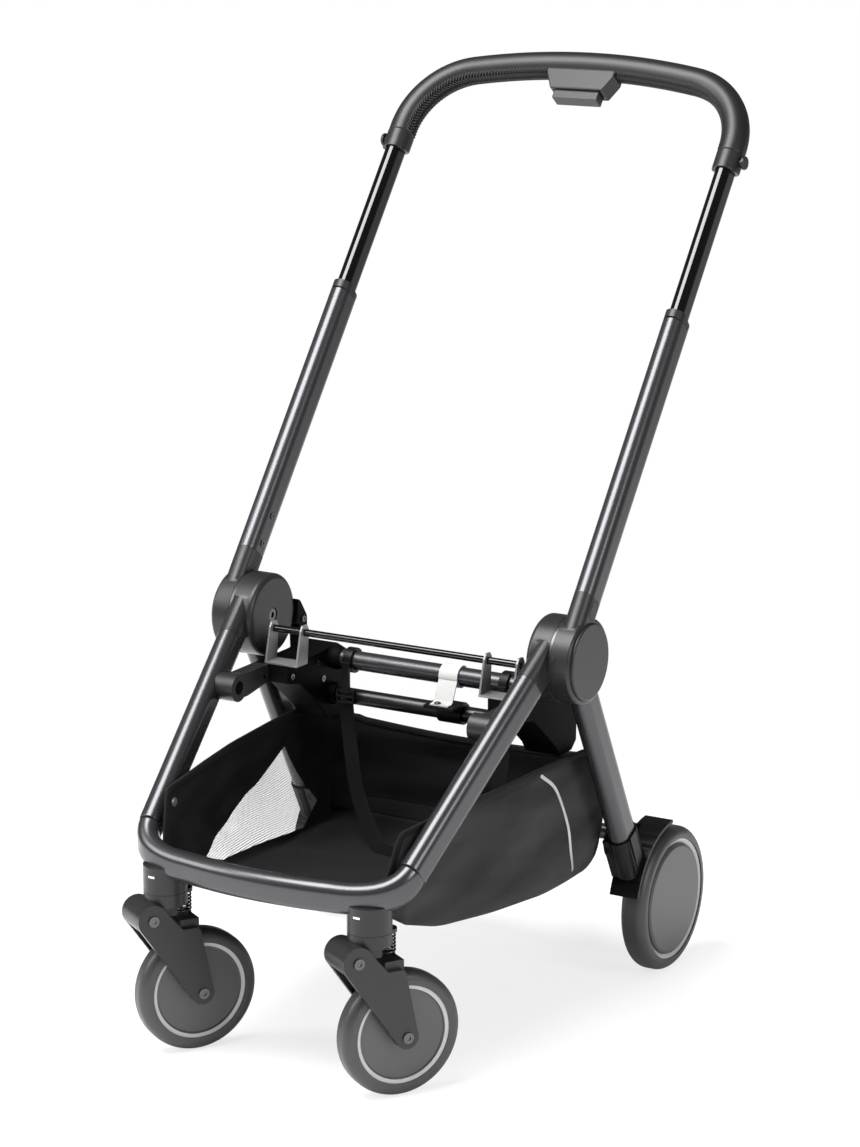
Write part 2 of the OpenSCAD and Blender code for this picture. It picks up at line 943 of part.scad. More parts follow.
// Mushroom studs on the outside of the collars, for accessories
stud_r = 5;
stud_len = 3.5;
module accessory_studs() {
    color(moulded_black)
        both_sides()
            at_handle()
                translate([upper_x + grip_w / 2, 0, grip_start - collar_len * 0.36])
                    rotate([0, 90, 0]) {
                        cylinder(r = stud_r, h = stud_len);
                        translate([0, 0, stud_len - eps])
                            rounded_disc(stud_r + 3.5, 4, 1.8);
                    }
}

// Tapered housing under the middle of the bar; the paddle slides in its pocket
paddle_w = 64;
paddle_d = 18;
paddle_in = 14;
paddle_out = 12;
module button_housing() {
    z0 = bar_top - grip_w / 2 + housing_lip;
    low = z0 - housing_drop;
    color(moulded_grey)
        at_handle()
            difference() {
                translate([0, housing_d / 2, 0])
                    rotate([90, 0, 0])
                        linear_extrude(housing_d)
                            polygon([
                                [-housing_w / 2, z0], [housing_w / 2, z0],
                                [housing_w / 2, z0 - 8], [housing_w / 2 - 11, low],
                                [-housing_w / 2 + 11, low], [-housing_w / 2, z0 - 8]]);
                translate([-paddle_w / 2 - slide_fit, -paddle_d / 2 - slide_fit, low - 1])
                    cube([paddle_w + 2 * slide_fit, paddle_d + 2 * slide_fit, paddle_in + paddle_travel + 2]);
            }
}

module release_paddle() {
    low = bar_top - grip_w / 2 + housing_lip - housing_drop;
    color(moulded_grey)
        at_handle() {
            translate([-paddle_w / 2, -paddle_d / 2, low - paddle_out])
                cube([paddle_w, paddle_d, paddle_in + paddle_out]);
        }
}

// Rear leg: oval tube hung from a steel plate between the hub discs
module rear_leg_r() {
    tongue = 110;
    color(satin_grey)
        difference() {
            union() {
                at_hub()
                    x_rod(hub_r - 0.5, x_plate0, x_plate1);
                leg_frame()
                    translate([x_plate0, -tube_d / 2 + 6, -tongue])
                        cube([leg_plate, tube_d - 12, tongue]);
                leg_frame()
                    translate([leg_x, 0, -leg_len])
                        difference() {
                            linear_extrude(leg_len)
                                stadium(tube_d, tube_w);
                            translate([0, 0, -1])
                                linear_extrude(leg_len - hub_r - 8)
                                    stadium(tube_d - 2 * tube_wall, tube_w - 2 * tube_wall);
                        }
            }
            at_hub()
                x_rod(axle_r + run_fit, x_plate0 - 1, x_plate1 + 1);
            at_hub()
                x_rod(hub_r + leg_gap, x_plate1, x_out1 + 20);
            at_hub()
                x_rod(hub_r + leg_gap, x_in0, x_plate0);
        }
}

module rear_leg_l() {
    mirror([1, 0, 0])
        rear_leg_r();
}

// Guard at the foot of the leg: inner plate, fender over the tyre, leg socket and stub axle
fender_in = rear_wheel_d / 2 + fender_gap;
fender_out = fender_in + fender_wall;
fender_from = 92;
fender_to = 164;
module wheel_guard_r() {
    w = [wheel_y, wheel_z];
    foot = [hub[1] + leg_len * cos(leg_slope), hub[2] - leg_len * sin(leg_slope)];
    color(moulded_black) {
        difference() {
            union() {
                side_plate(guard_x0, guard_x1) {
                    link_outline(w, 20, [cross_y, cross_z], cross_r + 8);
                    link_outline([cross_y, cross_z], cross_r + 8, foot, 22);
                    link_outline(w, 20, foot, 22);
                }
                translate([fender_x1, wheel_y, wheel_z])
                    rotate([0, -90, 0])
                        rotate([0, 0, 90 - fender_to])
                            rotate_extrude(angle = fender_to - fender_from, $fn = 96)
                                translate([fender_in, 0])
                                    square([fender_wall, fender_x1 - guard_x0]);
                leg_frame()
                    translate([leg_x, 0, -leg_len - 44])
                        linear_extrude(60)
                            stadium(tube_d + 5, tube_w + 5);
                leg_frame()
                    translate([guard_x0, -tube_d / 2, -leg_len - 44])
                        cube([leg_x - guard_x0, tube_d, 60]);
            }
            translate([0, wheel_y, wheel_z])
                x_rod(fender_in, guard_x1, x_out1 + 20);
            leg_frame()
                translate([leg_x, 0, -leg_len - eps])
                    linear_extrude(leg_len)
                        stadium(tube_d + 2 * snug_fit, tube_w + 2 * snug_fit);
            translate([0, cross_y, cross_z])
                x_rod(cross_r + snug_fit, guard_x0 - 1, guard_x1 + 1);
        }
        translate([0, wheel_y, wheel_z])
            x_rod(stub_r, guard_x1 - eps, tyre_x1 - 8);
    }
}

module wheel_guard_l() {
    mirror([1, 0, 0])
        wheel_guard_r();
}

module rear_cross_tube() {
    color(satin_grey)
        translate([0, cross_y, cross_z])
            difference() {
                x_rod(cross_r, -guard_x1, guard_x1);
                x_rod(cross_r - tube_wall, -guard_x1 - 1, guard_x1 + 1);
            }
}

// Foot pedal of the parking brake, turning on the rear cross tube
pedal_x0 = 40;
pedal_x1 = 110;
module brake_pedal() {
    color(moulded_black)
        translate([0, cross_y, cross_z])
            difference() {
                union() {
                    x_rod(cross_r + 5, pedal_x0, pedal_x1);
                    side_plate(pedal_x0, pedal_x1)
                        link_outline([0, 9], 6, [48, 16], 4);
                }
                x_rod(cross_r + run_fit, pedal_x0 - 1, pedal_x1 + 1);
            }
}

module rear_wheel_frame() {
    translate([(tyre_x0 + tyre_x1) / 2, wheel_y, wheel_z])
        rotate([0, 90, 0])
            children();
}

rear_seat_r = wheel_z - rear_tyre_h;
rear_cap_r = rear_seat_r - rear_ring_w;
module rear_tyre_r() {
    color(rubber_grey)
        rear_wheel_frame()
            tyre(wheel_z, rear_seat_r, rear_tyre_w, 12);
}

module rear_tyre_l() {
    mirror([1, 0, 0])
        rear_tyre_r();
}

module rear_rim_r() {
    half = rear_tyre_w / 2;
    rim_r = rear_seat_r - snug_fit;
    color(moulded_grey)
        rear_wheel_frame()
            difference() {
                rotate_extrude($fn = 96)
                    polygon([
                        [0, -half + face_gap], [20, -half + face_gap], [24, -half + 8],
                        [rear_cap_r - 6, -half + 8], [rear_cap_r, -half + 3], [rim_r, -half + 3],
                        [rim_r, half - 3], [rear_cap_r + 1, half - 5], [rear_cap_r, half - 1.5],
                        [rear_cap_r - 3, half], [0, half]]);
                translate([0, 0, -half - 1])
                    cylinder(r = stub_r + run_fit, h = rear_tyre_w - 6);
            }
}

module rear_rim_l() {
    mirror([1, 0, 0])
        rear_rim_r();
}

// Front link of the seat arm with the adapter socket facing inwards
module seat_arm_r() {
    outer = front_at(front_neck + 110)[0] - tube_w / 2;
    color(moulded_black)
        difference() {
            union() {
                translate([0, boss_y, arm_z])
                    x_rod(boss_r, arm_x0 - 2, outer + 8);
                side_plate(arm_x0 + 3, arm_x1)
                    polygon([
                        [boss_y, arm_z - boss_r + 1], [boss_y + 26, arm_z - arm_h / 2 - 4],
                        [knuckle_y - face_gap, arm_z - arm_h / 2 + 3], [knuckle_y - face_gap, arm_z + arm_h / 2],
                        [boss_y + 22, arm_z + arm_h / 2], [boss_y, arm_z + boss_r - 1]]);
            }
            translate([0, boss_y, arm_z])
                x_rod(socket_r, arm_x0 - 4, arm_x1 - 8);
            front_tube_core();
        }
}

module seat_arm_l() {
    mirror([1, 0, 0])
        seat_arm_r();
}

// The space taken by the right front tube
module front_tube_core() {
    a = front_at(front_neck);
    b = front_at(front_end);
    along(a, b)
        rotate([0, 0, 90])
            linear_extrude(norm(b - a))
                stadium(tube_d + 2 * snug_fit, tube_w + 2 * snug_fit);
}

// Rear link and carrier block, bolted to the hub's ear and holding both cross tubes
module seat_carrier_r() {
    top = arm_z + arm_h / 2;
    color(moulded_black)
        difference() {
            union() {
                side_plate(carrier_x0, arm_x1)
                    polygon([
                        [knuckle_y, arm_z - arm_h / 2 + 3], [knuckle_y, top], [mid_y - 30, top],
                        [mid_y + 12, top + 4], [mid_y + 26, top - 4],
                        [mid_y + 34, arm_z - 10], [mid_y + 32, low_z - 20], [mid_y + 20, low_z - 30],
                        [mid_y - 10, low_z - 30], [mid_y - 20, low_z - 16], [mid_y - 76, arm_z - 16]]);
                translate([carrier_x0 - 8, mid_y, mid_z])
                    sphere(r = mid_r + 3.5);
                translate([0, mid_y, mid_z])
                    x_rod(mid_r + 2, carrier_x0 - 8, carrier_x0 + 1);
                translate([0, mid_y, low_z])
                    x_rod(low_r + 4, carrier_x0 - 10, carrier_x0 + 1);
            }
            translate([0, mid_y, mid_z])
                x_rod(mid_r + snug_fit, carrier_x0 - 40, carrier_x0 - 5);
            translate([0, mid_y, low_z])
                x_rod(low_r + snug_fit, carrier_x0 - 40, carrier_x0 + 5);
        }
}

module seat_carrier_l() {
    mirror([1, 0, 0])
        seat_carrier_r();
}

// Steel U brackets on the arms; the seat rod runs through their ears
module seat_brackets() {
    top = arm_z + arm_h / 2;
    color(pale_grey)
        both_sides()
            difference() {
                union() {
                    translate([bracket_x0, rod_y - 20, top])
                        cube([bracket_x1 - bracket_x0, 25, bracket_t]);
                    for (x = [bracket_x0, bracket_x1 - bracket_t])
                        side_plate(x, x + bracket_t)
                            polygon([
                                [rod_y - 20, top], [rod_y + 5, top], [rod_y + 9, rod_z + 3],
                                [rod_y + 5, rod_z + 9], [rod_y - 5, rod_z + 9], [rod_y - 9, rod_z + 3]]);
                }
                translate([0, rod_y, rod_z])
                    x_rod(rod_r + snug_fit, bracket_x0 - 20, bracket_x1 + 20);
            }
}

module seat_rod() {
    color(gloss_black)
        translate([0, rod_y, rod_z])
            x_rod(rod_r, -bracket_x1, bracket_x1);
}

module cross_tube_upper() {
    half = carrier_x0 - 5 - eps;
    color(satin_grey)
        translate([0, mid_y, mid_z])
            difference() {
                x_rod(mid_r, -half, half);
                x_rod(mid_r - tube_wall, -half - 1, half + 1);
            }
}

module cross_tube_lower() {
    half = carrier_x0 + 5 - eps;
    color(gloss_black)
        translate([0, mid_y, low_z])
            difference() {
                x_rod(low_r, -half, half);
                x_rod(low_r - tube_wall, -half - 1, half + 1);
            }
}

// Clamp on the lower tube with the plate that the webbing is screwed to
saddle_top = low_z + 16;
module strap_saddle() {
    color(moulded_black)
        difference() {
            union() {
                translate([0, mid_y, low_z])
                    x_rod(low_r + 3.5, saddle_x - saddle_half, saddle_x + saddle_half);
                translate([saddle_x - saddle_half - 4, mid_y - 38, saddle_top - 4])
                    cube([2 * saddle_half + 8, 36, 4]);
            }
            translate([0, mid_y, low_z])
                x_rod(low_r + snug_fit, saddle_x - 40, saddle_x + 40);
        }
}

// Grey webbing looped round the upper tube and screwed to the saddle
module strap_loop() {
    band = 26;
    r = mid_r + slide_fit;
    front_y = mid_y - r - band_t;
    foot_y = mid_y - 26;
    low = saddle_top + slide_fit;
    color(pale_grey)
        difference() {
            union() {
                translate([0, mid_y, mid_z])
                    x_rod(r + band_t, saddle_x - band / 2, saddle_x + band / 2);
                side_plate(saddle_x - band / 2, saddle_x + band / 2)
                    polygon([
                        [front_y, mid_z], [front_y + band_t, mid_z], [foot_y + 1.2 * band_t, low],
                        [foot_y - 10, low], [foot_y - 10, low + band_t], [foot_y, low + band_t]]);
            }
            translate([0, mid_y, mid_z])
                x_rod(r, saddle_x - band, saddle_x + band);
        }
}

// Inner face of the right front tube where it passes a given y
function front_inside(y) =
    front_at((hub[1] - front_offset * sin(front_slope) - y) / cos(front_slope))[0] - tube_w / 2;
side_y = lerp(basket_bay, mid_y, 0.23);

// Fabric basket: a tapered tub with a low front hem, open at the top; e insets its outline
function basket_side(e) = [
    [stem_half - 82, basket_y0 + e], [stem_half - 38, basket_y0 + 12 + e],
    [stem_half - neck_r - 7 - e, basket_bay + e], [basket_front - e, basket_bay + 2 + e],
    [front_inside(side_y) - basket_gap - e, side_y],
    [lerp(basket_front, basket_rear, 0.72) - e, lerp(side_y, mid_y, 0.39)],
    [basket_rear - e, mid_y], [basket_rear - e, basket_y1 - e]];

module basket_plan(e) {
    p = basket_side(e);
    linear_extrude(hub_z)
        polygon(concat(p, [for (i = [len(p) - 1 : -1 : 0]) [-p[i][0], p[i][1]]]));
}

// Height of the underside of the basket's floor, front to rear
drop_run = 114;
mid_run = 113;
low_run = 50;
rise_run = 44;
floor_front = 17;
floor_drop = 54;
floor_mid = 64;
floor_low = 75;
floor_rise = 73;
floor_rear = 48;
floor_line = [
    [basket_y0, basket_hem - floor_front], [basket_y0 + drop_run, basket_hem - floor_drop],
    [hub[1] - mid_run, basket_hem - floor_mid], [mid_y - low_run, basket_hem - floor_low],
    [basket_y1 - rise_run, basket_hem - floor_rise], [basket_y1 - 2 * cloth, basket_hem - floor_rear]];
function floor_at(y) = lookup(y, floor_line);

module basket() {
    tab_x = 40;
    tab_w = 22;
    tab_front = stem_y - bar_ahead + bar_d / 2 + 2.6;
    color(fabric_black) {
        difference() {
            intersection() {
                side_plate(-basket_rear, basket_rear)
                    polygon(concat(
                        [for (i = [len(floor_line) - 1 : -1 : 0]) floor_line[i]],
                        [[basket_y0, basket_hem], [basket_y0 + 46, basket_top],
                        [basket_y1 - 70, basket_top + 6], [basket_y1, basket_top - 28]]));
                basket_plan(0);
            }
            intersection() {
                side_plate(-basket_rear, basket_rear)
                    polygon(concat(
                        [for (i = [len(floor_line) - 1 : -1 : 0]) floor_line[i] + [0, cloth]],
                        [[basket_y0, 2 * basket_top], [basket_y1, 2 * basket_top]]));
                basket_plan(cloth);
            }
            translate([-basket_front + cloth, basket_y0 - 1, basket_hem])
                cube([2 * basket_front - 2 * cloth, basket_bay + 4 + cloth - basket_y0, basket_top]);
        }
        // Tabs that button round the front bar
        for (s = [-1, 1])
            translate([s * tab_x - tab_w / 2, tab_front, basket_hem - 12])
                cube([tab_w, basket_y0 + 1 - tab_front, 12]);
    }
}

// Webbing straps from the upper tube down to the basket's floor
strap_w = 20;
strap_t = 2;
strap_top = [strap_x, mid_y - mid_r - 4, low_z - 6];
strap_foot_y = hub[1] - 40;
strap_foot = [34, strap_foot_y, floor_at(strap_foot_y) + cloth + 1.2];
module basket_straps() {
    color(fabric_black)
        both_sides()
            along(strap_foot, strap_top)
                translate([-strap_t / 2, -strap_w / 2, 0])
                    cube([strap_t, strap_w, norm(strap_top - strap_foot)]);
}

// Hooks round the upper tube with a ladder buckle on each strap
module strap_buckles() {
    r = mid_r + snug_fit;
    color(moulded_black)
        both_sides() {
            difference() {
                union() {
                    translate([0, mid_y, mid_z])
                        x_rod(r + 4, strap_x - 6, strap_x + 6);
                    translate([strap_x - 5, strap_top[1] - 2, strap_top[2] + 17])
                        cube([10, 4, mid_z - strap_top[2] - 17]);
                    translate([strap_x - strap_w / 2 - 3, strap_top[1] - 3, strap_top[2] + 0.9])
                        cube([strap_w + 6, 6, 18]);
                }
                translate([0, mid_y, mid_z])
                    x_rod(r, strap_x - 20, strap_x + 20);
                for (z = [4, 11])
                    translate([strap_x - strap_w / 2, strap_top[1] - 10, strap_top[2] + z])
                        cube([strap_w, 20, 4]);
            }
        }
}

// Triangular ears on the inner discs that the carriers are bolted to
module hub_ears() {
    x0 = arm_x1;
    color(moulded_black)
        both_sides()
            difference() {
                side_plate(x0, x_in0 + 12) {
                    translate([hub[1], hub[2]])
                        link_outline([hub_r - 4, -4], 14, [ear_y - hub[1], ear_z - hub[2]], 9);
                    link_outline([ear_y, ear_z], 9, [mid_y + 8, arm_z + 3], 8);
                }
                at_hub()
                    x_rod(hub_r + snug_fit, x0 - 1, x_in1);
            }
}

// Screws of the cross frame and the front tubes
module frame_screws() {
    color(steel)
        both_sides() {
            for (p = [
                [arm_x0 + 3, knuckle_y - 9, arm_z + 1], [carrier_x0, knuckle_y + 11, arm_z - 3],
                [carrier_x0, mid_y - 34, arm_z + 2], [carrier_x0, mid_y + 24, arm_z - 14],
                [carrier_x0, mid_y - 22, low_z + 24], [arm_x1, ear_y, ear_z]])
                translate(p)
                    rotate([0, -90, 0])
                        screw(4, 1.4);
        }
}

front_bar();
front_tube_l();
front_tube_r();
hub_inner_l();
hub_inner_r();
hub_axles();
caster_housing_l();
caster_housing_r();
seat_arm_l();
seat_arm_r();
seat_carrier_l();
seat_carrier_r();
seat_brackets();
seat_rod();
cross_tube_upper();
cross_tube_lower();
strap_saddle();
strap_loop();
basket();
basket_straps();
strap_buckles();
frame_screws();
hub_ears();
hub_outer_l();
hub_outer_r();
hub_cap_l();
hub_cap_r();
outer_tube_l();
outer_tube_r();
tube_collars();
upper_screws();
slide_tubes();
handle_bar();
handle_grip();
grip_collars();
accessory_studs();
button_housing();
release_paddle();
rear_leg_l();
rear_leg_r();
wheel_guard_l();
wheel_guard_r();
rear_cross_tube();
brake_pedal();
rear_tyre_l();
rear_tyre_r();
rear_rim_l();
rear_rim_r();
caster_head_l();
caster_head_r();
fork_l();
fork_r();
fork_bolts_l();
fork_bolts_r();
fork_spring_l();
fork_spring_r();
front_tyre_l();
front_tyre_r();
front_rim_l();
front_rim_r();
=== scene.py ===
"""Looks of a folding pushchair chassis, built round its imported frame: finishes, cloth, padding and studio."""
import math

import bpy
import numpy as np
from bpy.props import FloatProperty, FloatVectorProperty, IntProperty, PointerProperty
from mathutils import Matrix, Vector, noise
from mathutils.bvhtree import BVHTree


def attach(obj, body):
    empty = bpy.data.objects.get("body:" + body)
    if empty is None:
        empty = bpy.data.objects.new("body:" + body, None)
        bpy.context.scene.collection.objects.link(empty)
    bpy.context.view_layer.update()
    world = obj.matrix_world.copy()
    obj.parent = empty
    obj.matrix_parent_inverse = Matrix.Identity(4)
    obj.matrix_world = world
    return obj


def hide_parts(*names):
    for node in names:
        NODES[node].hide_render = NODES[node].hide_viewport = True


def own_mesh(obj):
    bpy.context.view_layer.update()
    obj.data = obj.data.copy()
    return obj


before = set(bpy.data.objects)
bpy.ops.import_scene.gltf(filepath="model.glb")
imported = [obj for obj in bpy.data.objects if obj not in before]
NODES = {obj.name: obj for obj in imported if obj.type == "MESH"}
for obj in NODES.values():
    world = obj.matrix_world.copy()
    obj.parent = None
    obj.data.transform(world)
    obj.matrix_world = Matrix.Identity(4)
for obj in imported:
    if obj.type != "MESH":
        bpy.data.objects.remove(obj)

bl_info = {
    "name": "Pushchair chassis looks",
    "version": (1, 0, 0),
    "blender": (4, 5, 0),
    "location": "View3D > Sidebar > Pushchair",
    "description": "Finishes, cloth and padding of a folding pushchair chassis",
    "category": "Object",
}

MM = 0.001
SIDES = (("l", -1.0), ("r", 1.0))

# Places of the frame that the looks follow, in metres
HUB = Vector((0.0, -0.05546, 0.457))
LEAN = math.radians(52.5)
HANDLE_UP = Vector((0.0, math.cos(LEAN), math.sin(LEAN)))
HANDLE_BACK = Vector((0.0, math.sin(LEAN), -math.cos(LEAN)))
HANDLE_X = 0.2371
HANDLE_OFFSET = 0.028
GRIP_START = 0.679
BAR_START = 0.689
BAR_CORNER = 0.095
BAR_BOW = math.radians(10.6)
STEM_Y = HUB.y - 0.318
STEM_X = 0.140
BAR_Z = 0.239
CASTER_TURN = math.radians(58)
TRAIL = 0.0355
NECK_INSIDE = 0.2251
NECK_OUTSIDE = 0.2501
NECK_MIDDLE = 0.0545
FRONT_WHEEL_R = 0.075
REAR_WHEEL = Vector((HANDLE_X, HUB.y + 0.237, 0.092))
HOUSING_R = 0.0262
FRONT_SLOPE = math.radians(38.5)
FRONT_X = 0.2161
FRONT_TAPER = 0.108
FRONT_OFFSET = 0.0305
FRONT_SEAM = 0.344
MID_Y = HUB.y + 0.057
MID_Z = 0.397

# Sections of the two tubes that the scene sweeps itself: depth and width
GRIP_SECTION = (0.0370, 0.0330)
BAR_SECTION = (0.037, 0.026)

# Studio: where the camera stands and looks, and each light's place and size
EYE = Vector((1.9932, -3.4217, 1.493))
TARGET = Vector((-0.0011, 0.0047, 0.5208))
LIGHT_TARGET = Vector((0, 0, 0.5))
LIGHTS = {"top": ((-0.6, -1.2, 3.1), 1.9), "key": ((-2.4, -1.8, 2.0), 1.4), "fill": ((2.8, -0.8, 1.6), 1.2)}
WHITE = (1, 1, 1, 1)


# Finishes

def srgb(code):
    """Linear RGBA of a hex colour as it is seen on a screen."""
    parts = [int(code[i:i + 2], 16) / 255 for i in (1, 3, 5)]
    return tuple(c / 12.92 if c <= 0.04045 else ((c + 0.055) / 1.055) ** 2.4 for c in parts) + (1.0,)


def add_node(tree, kind, sockets=None, **settings):
    """A new node with its settings and the constant values of its sockets."""
    node = tree.nodes.new(kind)
    for key, value in settings.items():
        setattr(node, key, value)
    for key, value in (sockets or {}).items():
        node.inputs[key].default_value = value
    return node


def join(tree, *pairs):
    """Links each pair of an output and an input."""
    for start, end in pairs:
        tree.links.new(start, end)


def new_material(name):
    """An empty node material: the material, its tree and its output node."""
    mat = bpy.data.materials.new(name)
    mat.use_nodes = True
    mat.node_tree.nodes.clear()
    return mat, mat.node_tree, add_node(mat.node_tree, "ShaderNodeOutputMaterial")


def finish_material(name, colour, roughness, metallic=0.0, gloss=0.5, grain_mm=0.0, grain=0.0):
    """One smooth finish; grain_mm and grain give the size and depth of a fine moulded grain."""
    mat, tree, out = new_material(name)
    skin = add_node(tree, "ShaderNodeBsdfPrincipled", {
        "Base Color": srgb(colour), "Roughness": roughness, "Metallic": metallic, "Specular IOR Level": gloss})
    if grain:
        place = add_node(tree, "ShaderNodeTexCoord")
        speckle = add_node(tree, "ShaderNodeTexNoise", {"Scale": 1 / (grain_mm * MM), "Detail": 2.0})
        bump = add_node(tree, "ShaderNodeBump", {"Strength": grain, "Distance": 0.15 * MM})
        join(tree, (place.outputs["Object"], speckle.inputs["Vector"]),
             (speckle.outputs["Fac"], bump.inputs["Height"]), (bump.outputs["Normal"], skin.inputs["Normal"]))
    join(tree, (skin.outputs["BSDF"], out.inputs["Surface"]))
    return mat


def weave_height(tree, pitch_mm):
    """Height of a plain weave over the UV map, which is in metres."""
    uv = add_node(tree, "ShaderNodeUVMap", uv_map="flat")
    # A wave texture of scale 1 has its bands 0.314 apart
    scale = 0.314 / (pitch_mm * MM)
    warp = add_node(tree, "ShaderNodeTexWave", {"Scale": scale}, bands_direction="X")
    weft = add_node(tree, "ShaderNodeTexWave", {"Scale": scale}, bands_direction="Y")
    over = add_node(tree, "ShaderNodeMath", operation="MAXIMUM")
    for wave, slot in ((warp, 0), (weft, 1)):
        join(tree, (uv.outputs["UV"], wave.inputs["Vector"]), (wave.outputs["Fac"], over.inputs[slot]))
    return over.outputs["Value"]


def cloth_skin(tree, colour, pitch_mm, depth, roughness=0.85, crease_mm=0.0):
    """A woven cloth: matt, with the fine relief of its threads and soft slanting creases crease_mm deep."""
    skin = add_node(tree, "ShaderNodeBsdfPrincipled", {
        "Base Color": srgb(colour), "Roughness": roughness, "Sheen Weight": 0.04, "Sheen Roughness": 0.5,
        "Specular IOR Level": 0.12})
    bump = add_node(tree, "ShaderNodeBump", {"Strength": depth, "Distance": 0.3 * MM})
    join(tree, (weave_height(tree, pitch_mm), bump.inputs["Height"]),
         (bump.outputs["Normal"], skin.inputs["Normal"]))
    if crease_mm:
        place = add_node(tree, "ShaderNodeTexCoord")
        slant = add_node(tree, "ShaderNodeMapping", {"Rotation": (0.7, 0.0, 0.0), "Scale": (5.0, 6.0, 17.0)})
        crease = add_node(tree, "ShaderNodeTexNoise", {"Scale": 1.0, "Detail": 1.0, "Roughness": 0.4})
        soft = add_node(tree, "ShaderNodeBump", {"Strength": 1.0, "Distance": crease_mm * MM})
        join(tree, (place.outputs["Object"], slant.inputs["Vector"]),
             (slant.outputs["Vector"], crease.inputs["Vector"]), (crease.outputs["Fac"], soft.inputs["Height"]),
             (soft.outputs["Normal"], bump.inputs["Normal"]))
    return skin


def cloth_material(name, colour, pitch_mm, depth, roughness=0.85):
    """A plain woven cloth, such as webbing or hem tape."""
    mat, tree, out = new_material(name)
    skin = cloth_skin(tree, colour, pitch_mm, depth, roughness)
    join(tree, (skin.outputs["BSDF"], out.inputs["Surface"]))
    return mat


# Corners of the see-through net window in the basket's left wall: (y, z), going round
WINDOW = ((-0.016, 0.281), (-0.240, 0.197), (-0.192, 0.179), (0.011, 0.161), (0.056, 0.191))
# The window is cut only into cloth that lies farther left than this
WINDOW_X = 0.168
NET_PITCH_MM = 3.0
# Only the crest of the weave is thread: the rest of the net is open
NET_CREST = 0.955


def window_mask(tree):
    """1 inside the net window of the left wall, 0 elsewhere."""
    place = add_node(tree, "ShaderNodeTexCoord")
    planes = [((-1.0, 0.0, 0.0), WINDOW_X)]
    for (y0, z0), (y1, z1) in zip(WINDOW, WINDOW[1:] + WINDOW[:1]):
        ny, nz = -(z1 - z0), y1 - y0
        planes.append(((0.0, ny, nz), ny * y0 + nz * z0))
    value = None
    for normal, limit in planes:
        side = add_node(tree, "ShaderNodeVectorMath", {1: normal}, operation="DOT_PRODUCT")
        test = add_node(tree, "ShaderNodeMath", {1: limit}, operation="GREATER_THAN")
        join(tree, (place.outputs["Object"], side.inputs[0]), (side.outputs["Value"], test.inputs[0]))
        if value is None:
            value = test.outputs["Value"]
            continue
        both = add_node(tree, "ShaderNodeMath", operation="MULTIPLY")
        join(tree, (value, both.inputs[0]), (test.outputs["Value"], both.inputs[1]))
        value = both.outputs["Value"]
    return value


def basket_material(name, colour, pitch_mm, depth):
    """Basket cloth with the net window let into its left wall: thin dark threads with open holes between."""
    mat, tree, out = new_material(name)
    cloth = cloth_skin(tree, colour, pitch_mm, depth, crease_mm=45.0)
    thread = add_node(tree, "ShaderNodeBsdfPrincipled", {"Base Color": srgb("#3C3C3D"), "Roughness": 0.8})
    clear = add_node(tree, "ShaderNodeBsdfTransparent")
    holes = add_node(tree, "ShaderNodeMath", {1: NET_CREST}, operation="GREATER_THAN")
    net = add_node(tree, "ShaderNodeMixShader")
    wall = add_node(tree, "ShaderNodeMixShader")
    join(tree, (weave_height(tree, NET_PITCH_MM), holes.inputs[0]), (holes.outputs["Value"], net.inputs["Fac"]),
         (clear.outputs["BSDF"], net.inputs[1]), (thread.outputs["BSDF"], net.inputs[2]),
         (window_mask(tree), wall.inputs["Fac"]), (cloth.outputs["BSDF"], wall.inputs[1]),
         (net.outputs["Shader"], wall.inputs[2]), (wall.outputs["Shader"], out.inputs["Surface"]))
    return mat


MATERIALS = {}


